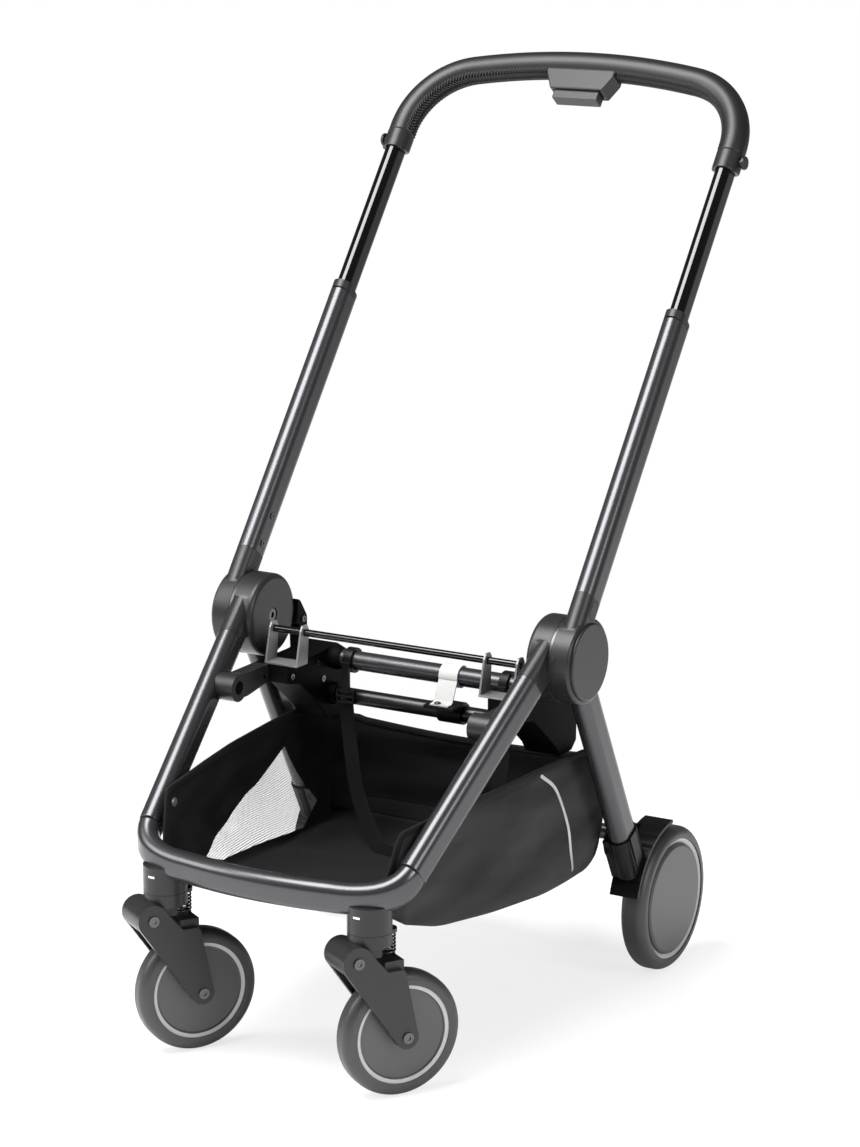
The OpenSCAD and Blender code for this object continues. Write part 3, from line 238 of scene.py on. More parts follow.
def make_materials():
    """The finishes of all pieces, each named for the real one, and the painted shade of the hubs' rib slots and panel
    seams.
    """
    moulded = {"grain_mm": 0.9, "grain": 0.12}
    MATERIALS.update(
        # Satin dark grey lacquer: dark sides and soft long highlights along the tubes
        satin=finish_material("satin_lacquer", "#444446", 0.27, metallic=0.75),
        # Gloss black lacquer of the sliding tubes and the seat rod
        gloss=finish_material("gloss_black_lacquer", "#030303", 0.10),
        # Fine-grained charcoal moulding of hubs, housings and forks
        charcoal=finish_material("moulded_charcoal_plastic", "#1E1E1F", 0.36, gloss=0.3, **moulded),
        # Fine-grained black moulding of the cross frame
        black=finish_material("moulded_black_plastic", "#060607", 0.42, gloss=0.18, **moulded),
        # Duller black of the carriers, which stay dark beside the lit tubes
        dull=finish_material("dull_black_plastic", "#050506", 0.6, gloss=0.05, **moulded),
        # Satin black of the lower cross tube, with one soft highlight along it
        satin_black=finish_material("satin_black_lacquer", "#0B0B0C", 0.30, gloss=0.6),
        # Painted shade: flat near-black marks that stand in for the shade inside the hub necks' rib slots and panel
        # seams
        shadow=finish_material("recess_black_plastic", "#040405", 0.65),
        dark_steel=finish_material("blackened_steel", "#0C0C0D", 0.16, gloss=0.9),
        spring=finish_material("spring_steel", "#4A4A4B", 0.25, metallic=1.0),
        pale=finish_material("light_grey_lacquered_steel", "#767677", 0.34, metallic=0.4),
        tyre=finish_material("charcoal_foam_rubber", "#29292A", 0.45, grain_mm=1.2, grain=0.1),
        disc=finish_material("wheel_disc_plastic", "#38383A", 0.42, grain_mm=0.9, grain=0.08),
        ring=finish_material("light_grey_ring_plastic", "#9C9C9D", 0.4),
        mark=finish_material("white_print", "#E6E6E6", 0.5),
        # Soft charcoal cover of the grip, with a leather-like grain
        cover=finish_material("soft_grip_cover", "#141415", 0.42, gloss=0.4, grain_mm=1.6, grain=0.35),
        thread=finish_material("grip_thread", "#343435", 0.7),
        # Laced band on the inner side of the grip, coarser and duller than the cover
        lacing=cloth_material("grip_lacing", "#0B0B0C", 2.4, 0.9, 0.75),
        webbing=cloth_material("light_grey_webbing", "#B0B0AF", 1.4, 0.5),
        strap=cloth_material("black_webbing", "#0E0E0F", 1.4, 0.6),
        hem=cloth_material("black_hem_tape", "#131314", 1.0, 0.4),
        stripe=finish_material("reflective_grey_tape", "#9FA1A0", 0.3, metallic=0.2),
        outside=basket_material("dark_grey_polyester", "#2A2A2B", 0.9, 0.4),
        inside=basket_material("black_polyester", "#101010", 1.3, 0.9),
    )


def both(*names):
    """The left and the right node of each name."""
    return [name + "_" + tag for name in names for tag, _ in SIDES]


# Pieces of the frame by finish
FINISH = {
    "satin": both("front_tube", "outer_tube", "rear_leg") + ["front_bar", "rear_cross_tube", "cross_tube_upper"],
    "gloss": ["slide_tubes", "handle_bar", "seat_rod"],
    "satin_black": ["cross_tube_lower"],
    "charcoal": both("hub_inner", "hub_outer", "hub_cap", "caster_housing", "caster_head", "fork", "seat_arm") + [
        "tube_collars", "grip_collars", "button_housing", "release_paddle", "handle_grip", "accessory_studs"],
    "dull": both("seat_carrier") + ["hub_ears"],
    "black": both("wheel_guard") + ["strap_saddle", "strap_buckles", "basket_straps", "brake_pedal", "basket"],
    "dark_steel": both("fork_bolts", "fork_spring") + ["hub_axles", "frame_screws", "upper_screws"],
    "pale": ["seat_brackets"],
    "webbing": ["strap_loop"],
    "tyre": both("rear_tyre", "front_tyre"),
    "disc": both("rear_rim", "front_rim"),
}

# Rounded edges of the frame's pieces, by width in millimetres; 0 only smooths the shading
EDGE_MM = {
    1.6: both("seat_arm", "seat_carrier", "fork", "wheel_guard") + ["button_housing", "brake_pedal"],
    1.2: both("caster_head", "hub_outer", "hub_inner") + ["hub_ears", "grip_collars", "release_paddle"],
    0.7: both("outer_tube", "rear_leg", "front_tube", "caster_housing", "rear_rim", "front_rim") + [
        "tube_collars", "strap_saddle", "strap_buckles", "seat_brackets"],
    0.0: ["slide_tubes", "seat_rod", "cross_tube_upper", "cross_tube_lower", "rear_cross_tube"],
}


def paint_frame():
    """Gives every piece of the frame its finish and the small rounded edges of mouldings and bent tube."""
    for finish, names in FINISH.items():
        for name in names:
            NODES[name].data.materials.clear()
            NODES[name].data.materials.append(MATERIALS[finish])
    for width, names in EDGE_MM.items():
        for name in names:
            node = NODES[name]
            weld = node.modifiers.new("weld", "WELD")
            weld.merge_threshold = 0.002 * MM
            if width:
                bevel = node.modifiers.new("edge", "BEVEL")
                bevel.width = width * MM
                bevel.segments = 2
                bevel.limit_method = "ANGLE"
                bevel.angle_limit = math.radians(35)
            normals = node.modifiers.new("normals", "WEIGHTED_NORMAL")
            normals.keep_sharp = True


# Mesh building

def make_piece(name, verts, faces, finish, body, uv=None, smooth=True, faces_of=None):
    """A mesh piece that rides on a body of the frame; faces_of gives each face's place in a list of finishes."""
    mesh = bpy.data.meshes.new(name)
    mesh.from_pydata([tuple(v) for v in verts], [], faces)
    for key in ([finish] if isinstance(finish, str) else finish):
        mesh.materials.append(MATERIALS[key])
    if faces_of is not None:
        mesh.polygons.foreach_set("material_index", faces_of)
    if uv is not None:
        layer = mesh.uv_layers.new(name="flat")
        for loop in mesh.loops:
            layer.data[loop.index].uv = uv[loop.vertex_index]
    if smooth:
        mesh.shade_smooth()
    mesh.validate()
    obj = bpy.data.objects.new(name, mesh)
    bpy.context.scene.collection.objects.link(obj)
    if body:
        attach(obj, body)
    return obj


def applied(obj, name):
    """A plain mesh object with the modifiers of obj worked in; obj is removed."""
    bpy.context.view_layer.update()
    depsgraph = bpy.context.evaluated_depsgraph_get()
    mesh = bpy.data.meshes.new_from_object(obj.evaluated_get(depsgraph))
    mesh.name = name
    bpy.data.objects.remove(obj)
    plain = bpy.data.objects.new(name, mesh)
    bpy.context.scene.collection.objects.link(plain)
    return plain


def run_length(path):
    """The distance run along a path at each of its points."""
    return np.concatenate([[0], np.cumsum(np.linalg.norm(np.diff(path, axis=0), axis=1))])


def ring_faces(rows, m, closed=False):
    """Quads between neighbouring rings of m points each; closed joins the last ring to the first."""
    return [(i * m + k, i * m + (k + 1) % m, (i + 1) % rows * m + (k + 1) % m, (i + 1) % rows * m + k)
            for i in range(rows if closed else rows - 1) for k in range(m)]


def path_frames(path, up):
    """Tangent, side and upright directions at each point of a path; up is one vector or one for each point."""
    path = np.asarray(path, float)
    tangent = np.gradient(path, axis=0)
    tangent /= np.linalg.norm(tangent, axis=1)[:, None]
    up = np.broadcast_to(np.asarray(up, float), path.shape)
    side = np.cross(tangent, up)
    side /= np.linalg.norm(side, axis=1)[:, None]
    return tangent, side, np.cross(side, tangent)


def swept(path, section, up, capped=True):
    """Vertices, faces and flat UVs of a closed section, (side, upright) pairs, swept along a path."""
    path = np.asarray(path, float)
    section = np.asarray(section, float)
    _, side, tall = path_frames(path, up)
    n, m = len(path), len(section)
    rings = path[:, None] + section[None, :, :1] * side[:, None] + section[None, :, 1:] * tall[:, None]
    uv = [(a, b) for a in run_length(path) for b in run_length(section)]
    faces = ring_faces(n, m)
    if capped:
        faces += [tuple(range(m))[::-1], tuple(range((n - 1) * m, n * m))]
    return rings.reshape(-1, 3), faces, uv


def slot_section(depth, width, count):
    """A slot-shaped ring of points: width along the side direction, depth upright."""
    ring = []
    for k in range(count):
        a = 2 * math.pi * (k + 0.5) / count
        lift = math.copysign((depth - width) / 2, math.sin(a))
        ring.append((math.cos(a) * width / 2, math.sin(a) * width / 2 + lift))
    return ring


def round_section(radius, count):
    """A round ring of points."""
    return slot_section(2 * radius, 2 * radius, count)


def smooth_path(points, count):
    """A smooth curve through the points, at even steps of length."""
    p = np.asarray(points, float)
    ends = np.vstack([2 * p[0] - p[1], p, 2 * p[-1] - p[-2]])
    out = []
    for i in range(len(p) - 1):
        a, b, c, d = ends[i:i + 4]
        for u in np.linspace(0, 1, 24, endpoint=False):
            out.append(0.5 * (2 * b + (c - a) * u + (2 * a - 5 * b + 4 * c - d) * u ** 2
                              + (3 * b - a - 3 * c + d) * u ** 3))
    out = np.array(out + [p[-1]])
    run = run_length(out)
    steps = np.linspace(0, run[-1], count)
    return np.stack([np.interp(steps, run, out[:, k]) for k in range(3)], axis=1)


def lathe(name, profile, place, axis, finish, body, count=96):
    """A ring or disc turned from (radius, along) pairs round an axis; the profile is a closed loop."""
    axis = Vector(axis).normalized()
    first = axis.orthogonal().normalized()
    second = axis.cross(first)
    verts, m = [], len(profile)
    for k in range(count):
        a = 2 * math.pi * k / count
        out = first * math.cos(a) + second * math.sin(a)
        verts += [Vector(place) + out * r + axis * h for r, h in profile]
    return make_piece(name, verts, ring_faces(count, m, closed=True), finish, body, smooth=False)


# Repeats

def stitch_tree():
    """Nodes that lay one small thread at even steps along a path of edges."""
    tree = bpy.data.node_groups.new("stitches", "GeometryNodeTree")
    face = tree.interface
    face.new_socket("Geometry", in_out="INPUT", socket_type="NodeSocketGeometry")
    for name in ("Spacing", "Length", "Radius", "Slant"):
        face.new_socket(name, in_out="INPUT", socket_type="NodeSocketFloat")
    face.new_socket("Material", in_out="INPUT", socket_type="NodeSocketMaterial")
    face.new_socket("Geometry", in_out="OUTPUT", socket_type="NodeSocketGeometry")
    given = add_node(tree, "NodeGroupInput")
    out = add_node(tree, "NodeGroupOutput")
    curve = add_node(tree, "GeometryNodeMeshToCurve")
    steps = add_node(tree, "GeometryNodeResampleCurve", mode="LENGTH")
    points = add_node(tree, "GeometryNodeInstanceOnPoints")
    thread = add_node(tree, "GeometryNodeMeshCylinder", {"Vertices": 6})
    tangent = add_node(tree, "GeometryNodeInputTangent")
    turn = add_node(tree, "FunctionNodeAlignRotationToVector", axis="Z")
    outward = add_node(tree, "GeometryNodeInputNamedAttribute", {"Name": "outward"}, data_type="FLOAT_VECTOR")
    lie = add_node(tree, "FunctionNodeAlignRotationToVector", axis="X", pivot_axis="Z")
    lean = add_node(tree, "ShaderNodeCombineXYZ")
    slant = add_node(tree, "FunctionNodeRotateRotation", rotation_space="LOCAL")
    euler = add_node(tree, "FunctionNodeEulerToRotation")
    real = add_node(tree, "GeometryNodeRealizeInstances")
    paint = add_node(tree, "GeometryNodeSetMaterial")
    join(tree, (given.outputs["Geometry"], curve.inputs["Mesh"]), (curve.outputs["Curve"], steps.inputs["Curve"]),
         (given.outputs["Spacing"], steps.inputs["Length"]), (steps.outputs["Curve"], points.inputs["Points"]),
         (given.outputs["Length"], thread.inputs["Depth"]), (given.outputs["Radius"], thread.inputs["Radius"]),
         (thread.outputs["Mesh"], points.inputs["Instance"]), (tangent.outputs["Tangent"], turn.inputs["Vector"]),
         (given.outputs["Slant"], lean.inputs["X"]), (lean.outputs["Vector"], euler.inputs["Euler"]),
         (turn.outputs["Rotation"], lie.inputs["Rotation"]), (outward.outputs["Attribute"], lie.inputs["Vector"]),
         (lie.outputs["Rotation"], slant.inputs["Rotation"]), (euler.outputs["Rotation"], slant.inputs["Rotate By"]),
         (slant.outputs["Rotation"], points.inputs["Rotation"]),
         (points.outputs["Instances"], real.inputs["Geometry"]), (real.outputs["Geometry"], paint.inputs["Geometry"]),
         (given.outputs["Material"], paint.inputs["Material"]), (paint.outputs["Geometry"], out.inputs["Geometry"]))
    return tree


def stitch_row(name, path, outward, spacing, length, radius, slant, finish, body):
    """A row of stitches along a path on a surface that faces outward, as one plain mesh on a body."""
    tree = bpy.data.node_groups.get("stitches") or stitch_tree()
    mesh = bpy.data.meshes.new(name)
    mesh.from_pydata([tuple(p) for p in path], [(i, i + 1) for i in range(len(path) - 1)], [])
    facing = mesh.attributes.new("outward", "FLOAT_VECTOR", "POINT")
    facing.data.foreach_set("vector", np.asarray(outward, float).ravel())
    line = bpy.data.objects.new(name + "_line", mesh)
    bpy.context.scene.collection.objects.link(line)
    nodes = line.modifiers.new("stitches", "NODES")
    nodes.node_group = tree
    keys = {item.name: item.identifier for item in tree.interface.items_tree if item.in_out == "INPUT"}
    for key, value in (("Spacing", spacing), ("Length", length), ("Radius", radius), ("Slant", slant),
                       ("Material", MATERIALS[finish])):
        nodes[keys[key]] = value
    row = applied(line, name)
    if not len(row.data.vertices):
        raise RuntimeError(name + " came out empty")
    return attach(row, body)


# Pieces

def handle_point(x, along, out=0.0):
    """A place on the handle: x across, along the tubes, out towards the rear of its plane."""
    return HUB + HANDLE_UP * along + HANDLE_BACK * (out - HANDLE_OFFSET) + Vector((x, 0, 0))


def grip_path():
    """The middle line of the handlebar as (x, along) pairs from the right to the left collar."""
    corner_x = HANDLE_X - BAR_CORNER
    bow_r = (corner_x + BAR_CORNER * math.sin(BAR_BOW)) / math.sin(BAR_BOW)
    bow_s = BAR_START + (BAR_CORNER - bow_r) * math.cos(BAR_BOW)
    half = [(HANDLE_X, GRIP_START + 0.0002 + (BAR_START - GRIP_START) * i / 6) for i in range(6)]
    half += [(corner_x + BAR_CORNER * math.cos(a), BAR_START + BAR_CORNER * math.sin(a))
             for a in np.linspace(0, math.pi / 2 - BAR_BOW, 28)]
    half += [(bow_r * math.cos(a), bow_s + bow_r * math.sin(a))
             for a in np.linspace(math.pi / 2 - BAR_BOW, math.pi / 2, 26)[1:]]
    return half + [(-x, s) for x, s in half[-2::-1]]


def make_grip():
    """Padded grip: a smooth cover, closed along the inner side of the bow by a laced seam."""
    settings = bpy.context.scene.pushchair_grip
    depth, width = GRIP_SECTION
    path = np.array([handle_point(x, along) for x, along in grip_path()])
    verts, faces, uv = swept(path, slot_section(depth, width, 48), HANDLE_BACK)
    grip = make_piece("grip_cover", verts, faces, "cover", "handle", uv)
    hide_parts("handle_grip")
    _, side, tall = path_frames(path, HANDLE_BACK)
    inward = side * np.sign(((path.mean(0) - path) * side).sum(1))[:, None]
    # The laced band is a thin shell on the slot-shaped section: (angle, height over the cover) pairs
    flat, radius, above, below = (depth - width) / 2, width / 2, 0.25 * MM, -0.6 * MM
    band = [(a, above) for a in np.linspace(-1, 1, 13) * settings.seam_half]
    band += [(a, below) for a in np.linspace(1, -1, 13) * settings.seam_half]
    rings = [path + inward * (math.cos(a) * (radius + up)) +
             tall * (math.sin(a) * (radius + up) + math.copysign(flat, a)) for a, up in band]
    rings = np.stack(rings, axis=1)[1:-1]
    # The weave of the band runs slantwise, 12 mm of cloth to a radian
    uv = [(u + a * 0.012, u - a * 0.012) for u in run_length(rings[:, 0]) for a, _ in band]
    lacing = make_piece("grip_lacing", rings.reshape(-1, 3), ring_faces(*rings.shape[:2]), "lacing", "handle", uv)
    for number in range(4):
        a = settings.seam_half * (2 * number / 3 - 1)
        facing = inward * math.cos(a) + tall * math.sin(a)
        row = path + facing * (radius + 0.3 * MM) + tall * math.copysign(flat, a)
        slant = settings.stitch_slant * (-1) ** number
        stitch_row(f"grip_stitches_{number}", row[2:-2], facing[2:-2], settings.stitch_step,
                   settings.stitch_length, 0.6 * MM, slant, "thread", "handle")


def front_tube_at(t):
    """The middle of the right front tube at a distance t from the hub."""
    c, s = math.cos(FRONT_SLOPE), math.sin(FRONT_SLOPE)
    return np.array((FRONT_X - FRONT_TAPER * t, HUB.y - FRONT_OFFSET * s - t * c, HUB.z + FRONT_OFFSET * c - t * s))


def front_bar_path():
    """The middle line of the front bar from the right seam round to the left one."""
    seam, start = front_tube_at(FRONT_SEAM), front_tube_at(FRONT_SEAM + 0.003)
    drop = (seam[2] - BAR_Z) / math.sin(FRONT_SLOPE)
    knot = front_tube_at(FRONT_SEAM + drop)
    middle_y = STEM_Y - 0.022
    quarter = np.array((0.097, middle_y + 0.0095, BAR_Z))
    flat = np.array((0.0504, middle_y, BAR_Z))
    middle = np.array((0.0, middle_y, BAR_Z))

    def bend(a, c, b, u):
        return a * (1 - u) ** 2 + c * 2 * u * (1 - u) + b * u ** 2

    half = [seam] + [bend(start, knot, quarter, u) for u in np.linspace(0, 1, 26)]
    half += [bend(quarter, flat, middle, u) for u in np.linspace(0, 1, 16)[1:]]
    return np.array(half + [p * np.array((-1, 1, 1)) for p in half[-2::-1]])


def make_front_bar():
    """Front bar: one smooth bent oval tube with an even sheen."""
    verts, faces, uv = swept(front_bar_path(), slot_section(*BAR_SECTION, 56), (0, 0, 1))
    bar = make_piece("front_bar_tube", verts, faces, "satin", "front_frame", uv)
    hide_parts("front_bar")


def caster_place(side, along, across, height):
    """A place on a caster: along its trail, across it and above the ground."""
    c, s = math.cos(CASTER_TURN), math.sin(CASTER_TURN)
    return Vector((side * STEM_X + along * c - across * s, STEM_Y + along * s + across * c, height))


def make_casters():
    """Springs of smooth wire, pale rings on the wheels and the printed dash on each housing."""
    settings = bpy.context.scene.pushchair_wheels
    axis = Vector((math.sin(CASTER_TURN), -math.cos(CASTER_TURN), 0))
    low, high, seat, radius, turns, steps = 0.168, 0.198, 0.022, 0.009, 5, 24
    foot = 4.2 * MM
    for tag, side in SIDES:
        coil = [caster_place(side, seat + radius, 0, low)]
        for k in range(turns * steps + 1):
            a = 2 * math.pi * k / steps
            z = low + foot + (high - low - 2 * foot) * k / (turns * steps)
            coil.append(caster_place(side, seat + radius * math.cos(a), radius * math.sin(a), z))
        coil.append(caster_place(side, seat + radius, 0, high))
        up = [Vector((p[0], p[1], 0)) - caster_place(side, seat, 0, 0) for p in coil]
        verts, faces, uv = swept(coil, round_section(1.4 * MM, 10), up)
        spring = make_piece("spring_wire_" + tag, verts, faces, "spring", "caster_" + tag, uv)
        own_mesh(spring)
        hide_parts("fork_spring_" + tag)
        hub = caster_place(side, TRAIL, 0, FRONT_WHEEL_R)
        r0, r1 = settings.front_ring_in, settings.front_ring_out
        for number, face in enumerate((-1, 1)):
            profile = [(r, face * h) for r, h in ((r0, 0.0108), (r0, 0.0128), (r1, 0.0136), (r1, 0.0108))]
            lathe(f"front_ring_{tag}{number}", profile, hub, axis, "ring", "front_wheel_" + tag)
        r0, r1 = settings.rear_ring_in, settings.rear_ring_out
        profile = [(r0, 0.0105), (r0, 0.0123), (r1, 0.0153), (r1, 0.0105)]
        lathe(f"rear_ring_{tag}", profile, REAR_WHEEL * Vector((side, 1, 1)), (side, 0, 0), "ring",
              "rear_wheel_" + tag)
        make_dash(tag, side)


def make_dash(tag, side):
    """The white dash printed on the front of a caster's housing."""
    middle, step, height, half = math.radians(-94), 0.085, 0.2245, 1.2 * MM
    verts, faces = [], []
    for k in range(5):
        a = middle + (k - 2) * step
        for dz in (-half, half):
            verts.append((side * STEM_X + HOUSING_R * math.cos(a), STEM_Y + HOUSING_R * math.sin(a), height + dz))
        if k:
            faces.append((2 * k - 2, 2 * k, 2 * k + 1, 2 * k - 1))
    make_piece("housing_dash_" + tag, verts, faces, "mark", "front_frame")


# Basket: half width, underside and top edge at each y, and the (y, z) points of the stripe on its wall
BASKET_FRONT = STEM_Y - 0.002
BASKET_REAR = HUB.y + 0.165
WALL_FRONT = STEM_Y + 0.040
WIDTH = ((STEM_Y, 0.1585), (-0.2634, 0.171), (-0.160, 0.187), (MID_Y, 0.198), (1.0, 0.198))
FLOOR = ((BASKET_FRONT, 0.217), (BASKET_FRONT + 0.114, 0.180), (HUB.y - 0.113, 0.170), (MID_Y - 0.050, 0.159),
         (BASKET_REAR - 0.044, 0.161), (BASKET_REAR - 0.006, 0.186))
STRIPE = ((-0.068, 0.312), (-0.034, 0.286), (-0.016, 0.243), (-0.002, 0.200), (0.010, 0.170))
TOP = ((WALL_FRONT, 0.309), (HUB.y - 0.19, 0.314), (HUB.y, 0.317), (BASKET_REAR - 0.07, 0.315),
       (BASKET_REAR, 0.285))
# Half width of the front edge, radius of the rear corners, half width between these, and how far the rim hangs
# below the floor
FRONT_HALF = 0.150
REAR_CORNER = 0.030
REAR_HALF = 0.168
RIM_SAG = 0.003


def along_line(table, y):
    """A table's value at y, with its corners rounded off."""
    near = y + np.linspace(-0.014, 0.014, 5)
    return float(np.interp(near, [p[0] for p in table], [p[1] for p in table]).mean())


def basket_edges():
    """The basket's hem and the rim of its floor, point by point round from the front middle to the right."""
    bar = front_bar_path()
    hem, rim = [], []
    # Close behind the bar; near the casters the rim keeps clear of their housings
    for x in np.linspace(0, FRONT_HALF, 22):
        k = int(np.argmin(np.abs(bar[:, 0] - x)))
        hem.append((x, bar[k, 1] + 0.0165, BAR_Z + 0.0085))
        behind = 0.004 if x < 0.095 else 0.004 + 0.030 * min(1.0, (x - 0.095) / 0.014)
        rim.append((x * 0.985, max(bar[k, 1] + 0.016 + behind, BASKET_FRONT + 0.003 + behind), 0.2130))
    # Front corner: the hem climbs from the bar to the top of the wall
    for u in np.linspace(0.15, 1, 8):
        lift = u * u * (3 - 2 * u)
        hem.append((FRONT_HALF + 0.012 * u, STEM_Y + 0.012 + 0.028 * u, BAR_Z + 0.008 + 0.062 * lift))
        rim.append((0.148 + 0.011 * u, STEM_Y + 0.033 + 0.010 * u, 0.2125 - 0.010 * u))
    # Side wall, rear corner and rear wall
    for y in np.linspace(WALL_FRONT, BASKET_REAR - REAR_CORNER, 44)[1:]:
        hem.append((along_line(WIDTH, y), y, along_line(TOP, y)))
        rim.append((along_line(WIDTH, y) - 0.007, y, along_line(FLOOR, y) - RIM_SAG))
    for a in np.linspace(0, math.pi / 2, 9)[1:]:
        y = BASKET_REAR - REAR_CORNER + REAR_CORNER * math.sin(a)
        hem.append((REAR_HALF + REAR_CORNER * math.cos(a), y, along_line(TOP, y)))
        rim.append((0.160 + 0.035 * math.cos(a), y - 0.010, along_line(FLOOR, y) - RIM_SAG))
    for x in np.linspace(REAR_HALF, 0, 18)[1:]:
        hem.append((x, BASKET_REAR, 0.285 - 0.006 * math.cos(x / REAR_HALF * math.pi / 2)))
        rim.append((x * 0.952, BASKET_REAR - 0.010, along_line(FLOOR, BASKET_REAR) - RIM_SAG))
    flip = np.array((-1, 1, 1))
    return [np.vstack([half, half[-2:0:-1] * flip]) for half in (np.array(hem), np.array(rim))]


def wall_tape(name, surface, line, half, start, finish):
    """A tape along (y, z) points on the basket's wall that a look from x = start towards -X meets first."""
    line = smooth_path([(0, y, z) for y, z in line], 40)
    along = path_frames(line, (1, 0, 0))[0]
    across = np.cross(along, (1, 0, 0))
    verts = []
    for p, side in zip(line, across):
        for shift in (-half, half):
            q = p + side * shift
            hit = surface.ray_cast(Vector((start, q[1], q[2])), Vector((-1, 0, 0)))[0]
            if hit is None:
                raise RuntimeError(name + " misses the basket's wall")
            verts.append((hit.x + 0.6 * MM, q[1], q[2]))
    faces = [(2 * i, 2 * i + 1, 2 * i + 3, 2 * i + 2) for i in range(len(line) - 1)]
    return make_piece(name, verts, faces, finish, "front_frame")


def make_basket():
    """Cloth basket: soft walls hung from a bound hem, a sagging floor, a net window and a reflective stripe."""
    settings = bpy.context.scene.pushchair_basket
    hem, rim = basket_edges()
    n = len(hem)
    wall_rings, floor_rings = 16, 12
    centre = np.array((0.0, -0.13))
    # Low stretches, as at the front, stay taut; full height lets the cloth fold
    slack = np.clip((hem[:, 2] - rim[:, 2]) / 0.11, 0, 1) ** 2
    rows = []
    for i in range(wall_rings + 1):
        t = i / wall_rings
        ring = hem.copy()
        ring[:, :2] += (rim - hem)[:, :2] * t ** 3.2
        ring[:, 2] += (rim - hem)[:, 2] * (1 - (1 - t) ** 1.25)
        away = ring[:, :2] - centre
        away /= np.linalg.norm(away, axis=1)[:, None]
        for k in range(n):
            x, y, z = ring[k]
            # Slow waves about 100 mm long, and folds about 40 mm long
            slow = noise.noise(Vector((y * 9 + x * 2, z * 16 + y * 7, x * 9 + 3.1)))
            fold = noise.noise(Vector((y * 26 + z * 22, x * 6, 7.7)))
            ripple = settings.wrinkle * (0.8 * slow + 0.5 * fold) * math.sin(math.pi * t) ** 0.7
            push = (settings.belly * math.sin(math.pi * t) + ripple) * slack[k]
            ring[k, :2] += away[k] * push * (1.0, 0.4)
        rows.append(ring)
    for j in range(1, floor_rings + 1):
        t = j / floor_rings
        ring = rim.copy()
        ring[:, 0] = rim[:, 0] * (1 - t)
        near = min(1.0, t * 6)
        for k in range(n):
            x, y, _ = ring[k]
            level = along_line(FLOOR, y) + 0.0035
            ripple = noise.noise(Vector((x * 14, y * 14, 1.3))) * 0.0018 * math.sin(math.pi * min(t, 0.5))
            ring[k, 2] = rim[k, 2] * (1 - near) + level * near + ripple
        rows.append(ring)
    verts, faces = np.vstack(rows), ring_faces(len(rows), n)
    run = run_length(hem)
    uv = [(run[k], ring[k, 2]) if i <= wall_rings else (ring[k, 1], ring[k, 0])
          for i, ring in enumerate(rows) for k in range(n)]
    raw = make_piece("basket_raw", verts, faces, ["inside", "outside"], None, uv)
    weld = raw.modifiers.new("weld", "WELD")
    weld.merge_threshold = 0.2 * MM
    thick = raw.modifiers.new("thickness", "SOLIDIFY")
    thick.thickness = 1.4 * MM
    thick.offset = 0.0
    thick.material_offset = settings.outer_finish
    cloth = applied(raw, "basket_cloth")
    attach(cloth, "front_frame")
    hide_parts("basket")
    closed = np.vstack([hem, hem[:1]])
    verts, faces, uv = swept(closed, slot_section(0.009, 0.0042, 14), (0, 0, 1), capped=False)
    tape = make_piece("basket_hem", verts, faces, "hem", "front_frame", uv)
    surface = BVHTree.FromObject(cloth, bpy.context.evaluated_depsgraph_get())
    stripe = wall_tape("basket_stripe", surface, STRIPE, 0.0022, 0.30, "stripe")
    apex, corner = np.array(WINDOW[0]), np.array(WINDOW[-1])
    inset = -3 * MM
    edge = [apex * (1 - u) + corner * u + inset for u in (-0.15, 0.25, 0.6, 0.98)]
    binding = wall_tape("window_binding", surface, edge, 0.0048, -0.05, "hem")
    wall = surface.ray_cast(Vector((-0.05, -0.3176, 0.2904)), Vector((-1, 0, 0)))[0]
    profile = [(0, 0.0026), (0.0042, 0.0024), (0.0056, 0.0012), (0.0056, -0.001), (0, -0.001)]
    stud = lathe("press_stud", profile, wall, (1, 0, 0), "pale", "front_frame", 32)


# The right basket strap, from its buckle down to the floor and over it
STRAP_LINE = ((0.111, -0.0145, 0.345), (0.110, -0.010, 0.308), (0.099, -0.011, 0.236), (0.075, -0.022, 0.193),
              (0.047, -0.036, 0.170), (0.017, -0.042, 0.1665))


def band_section(across, tall):
    """The flat section of a webbing band."""
    a, b = across / 2, tall / 2
    return [(-a, -b), (a, -b), (a, b), (-a, b)]


def make_straps():
    """Webbing straps that hang from their buckles and lie out over the basket's floor."""
    for tag, side in SIDES:
        line = smooth_path([(side * x, y, z) for x, y, z in STRAP_LINE], 48)
        verts, faces, uv = swept(line, band_section(0.020, 1.8 * MM), (0, -1, 0.15))
        strap = make_piece("basket_strap_" + tag, verts, faces, "strap", "front_frame", uv, smooth=False)
        if side > 0:
            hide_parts("basket_straps")


def make_loop():
    """Grey webbing loop round the upper tube, its free end screwed down on the saddle plate."""
    x, r, foot_y, low = 0.034, 0.0133, MID_Y - 0.026, 0.3673
    path = [(x, foot_y - 0.010, low), (x, foot_y - 0.002, low), (x, foot_y + 0.002, low + 0.003)]
    path += [(x, MID_Y - r * math.cos(a), MID_Z + r * math.sin(a)) for a in np.linspace(-0.25, 1.9 * math.pi, 40)]
    thick = 1.8 * MM
    verts, faces, uv = swept(path, band_section(thick, 0.026), (1, 0, 0))
    loop = make_piece("webbing_loop", verts, faces, "webbing", "front_frame", uv, smooth=False)
    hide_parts("strap_loop")
    profile = [(0, 0.0024), (0.0034, 0.0022), (0.0042, 0.0012), (0.0042, 0), (0, 0)]
    lathe("loop_screw", profile, (x - 0.004, foot_y - 0.006, low + thick / 2), (0, 0, 1), "dark_steel",
          "front_frame", 24)


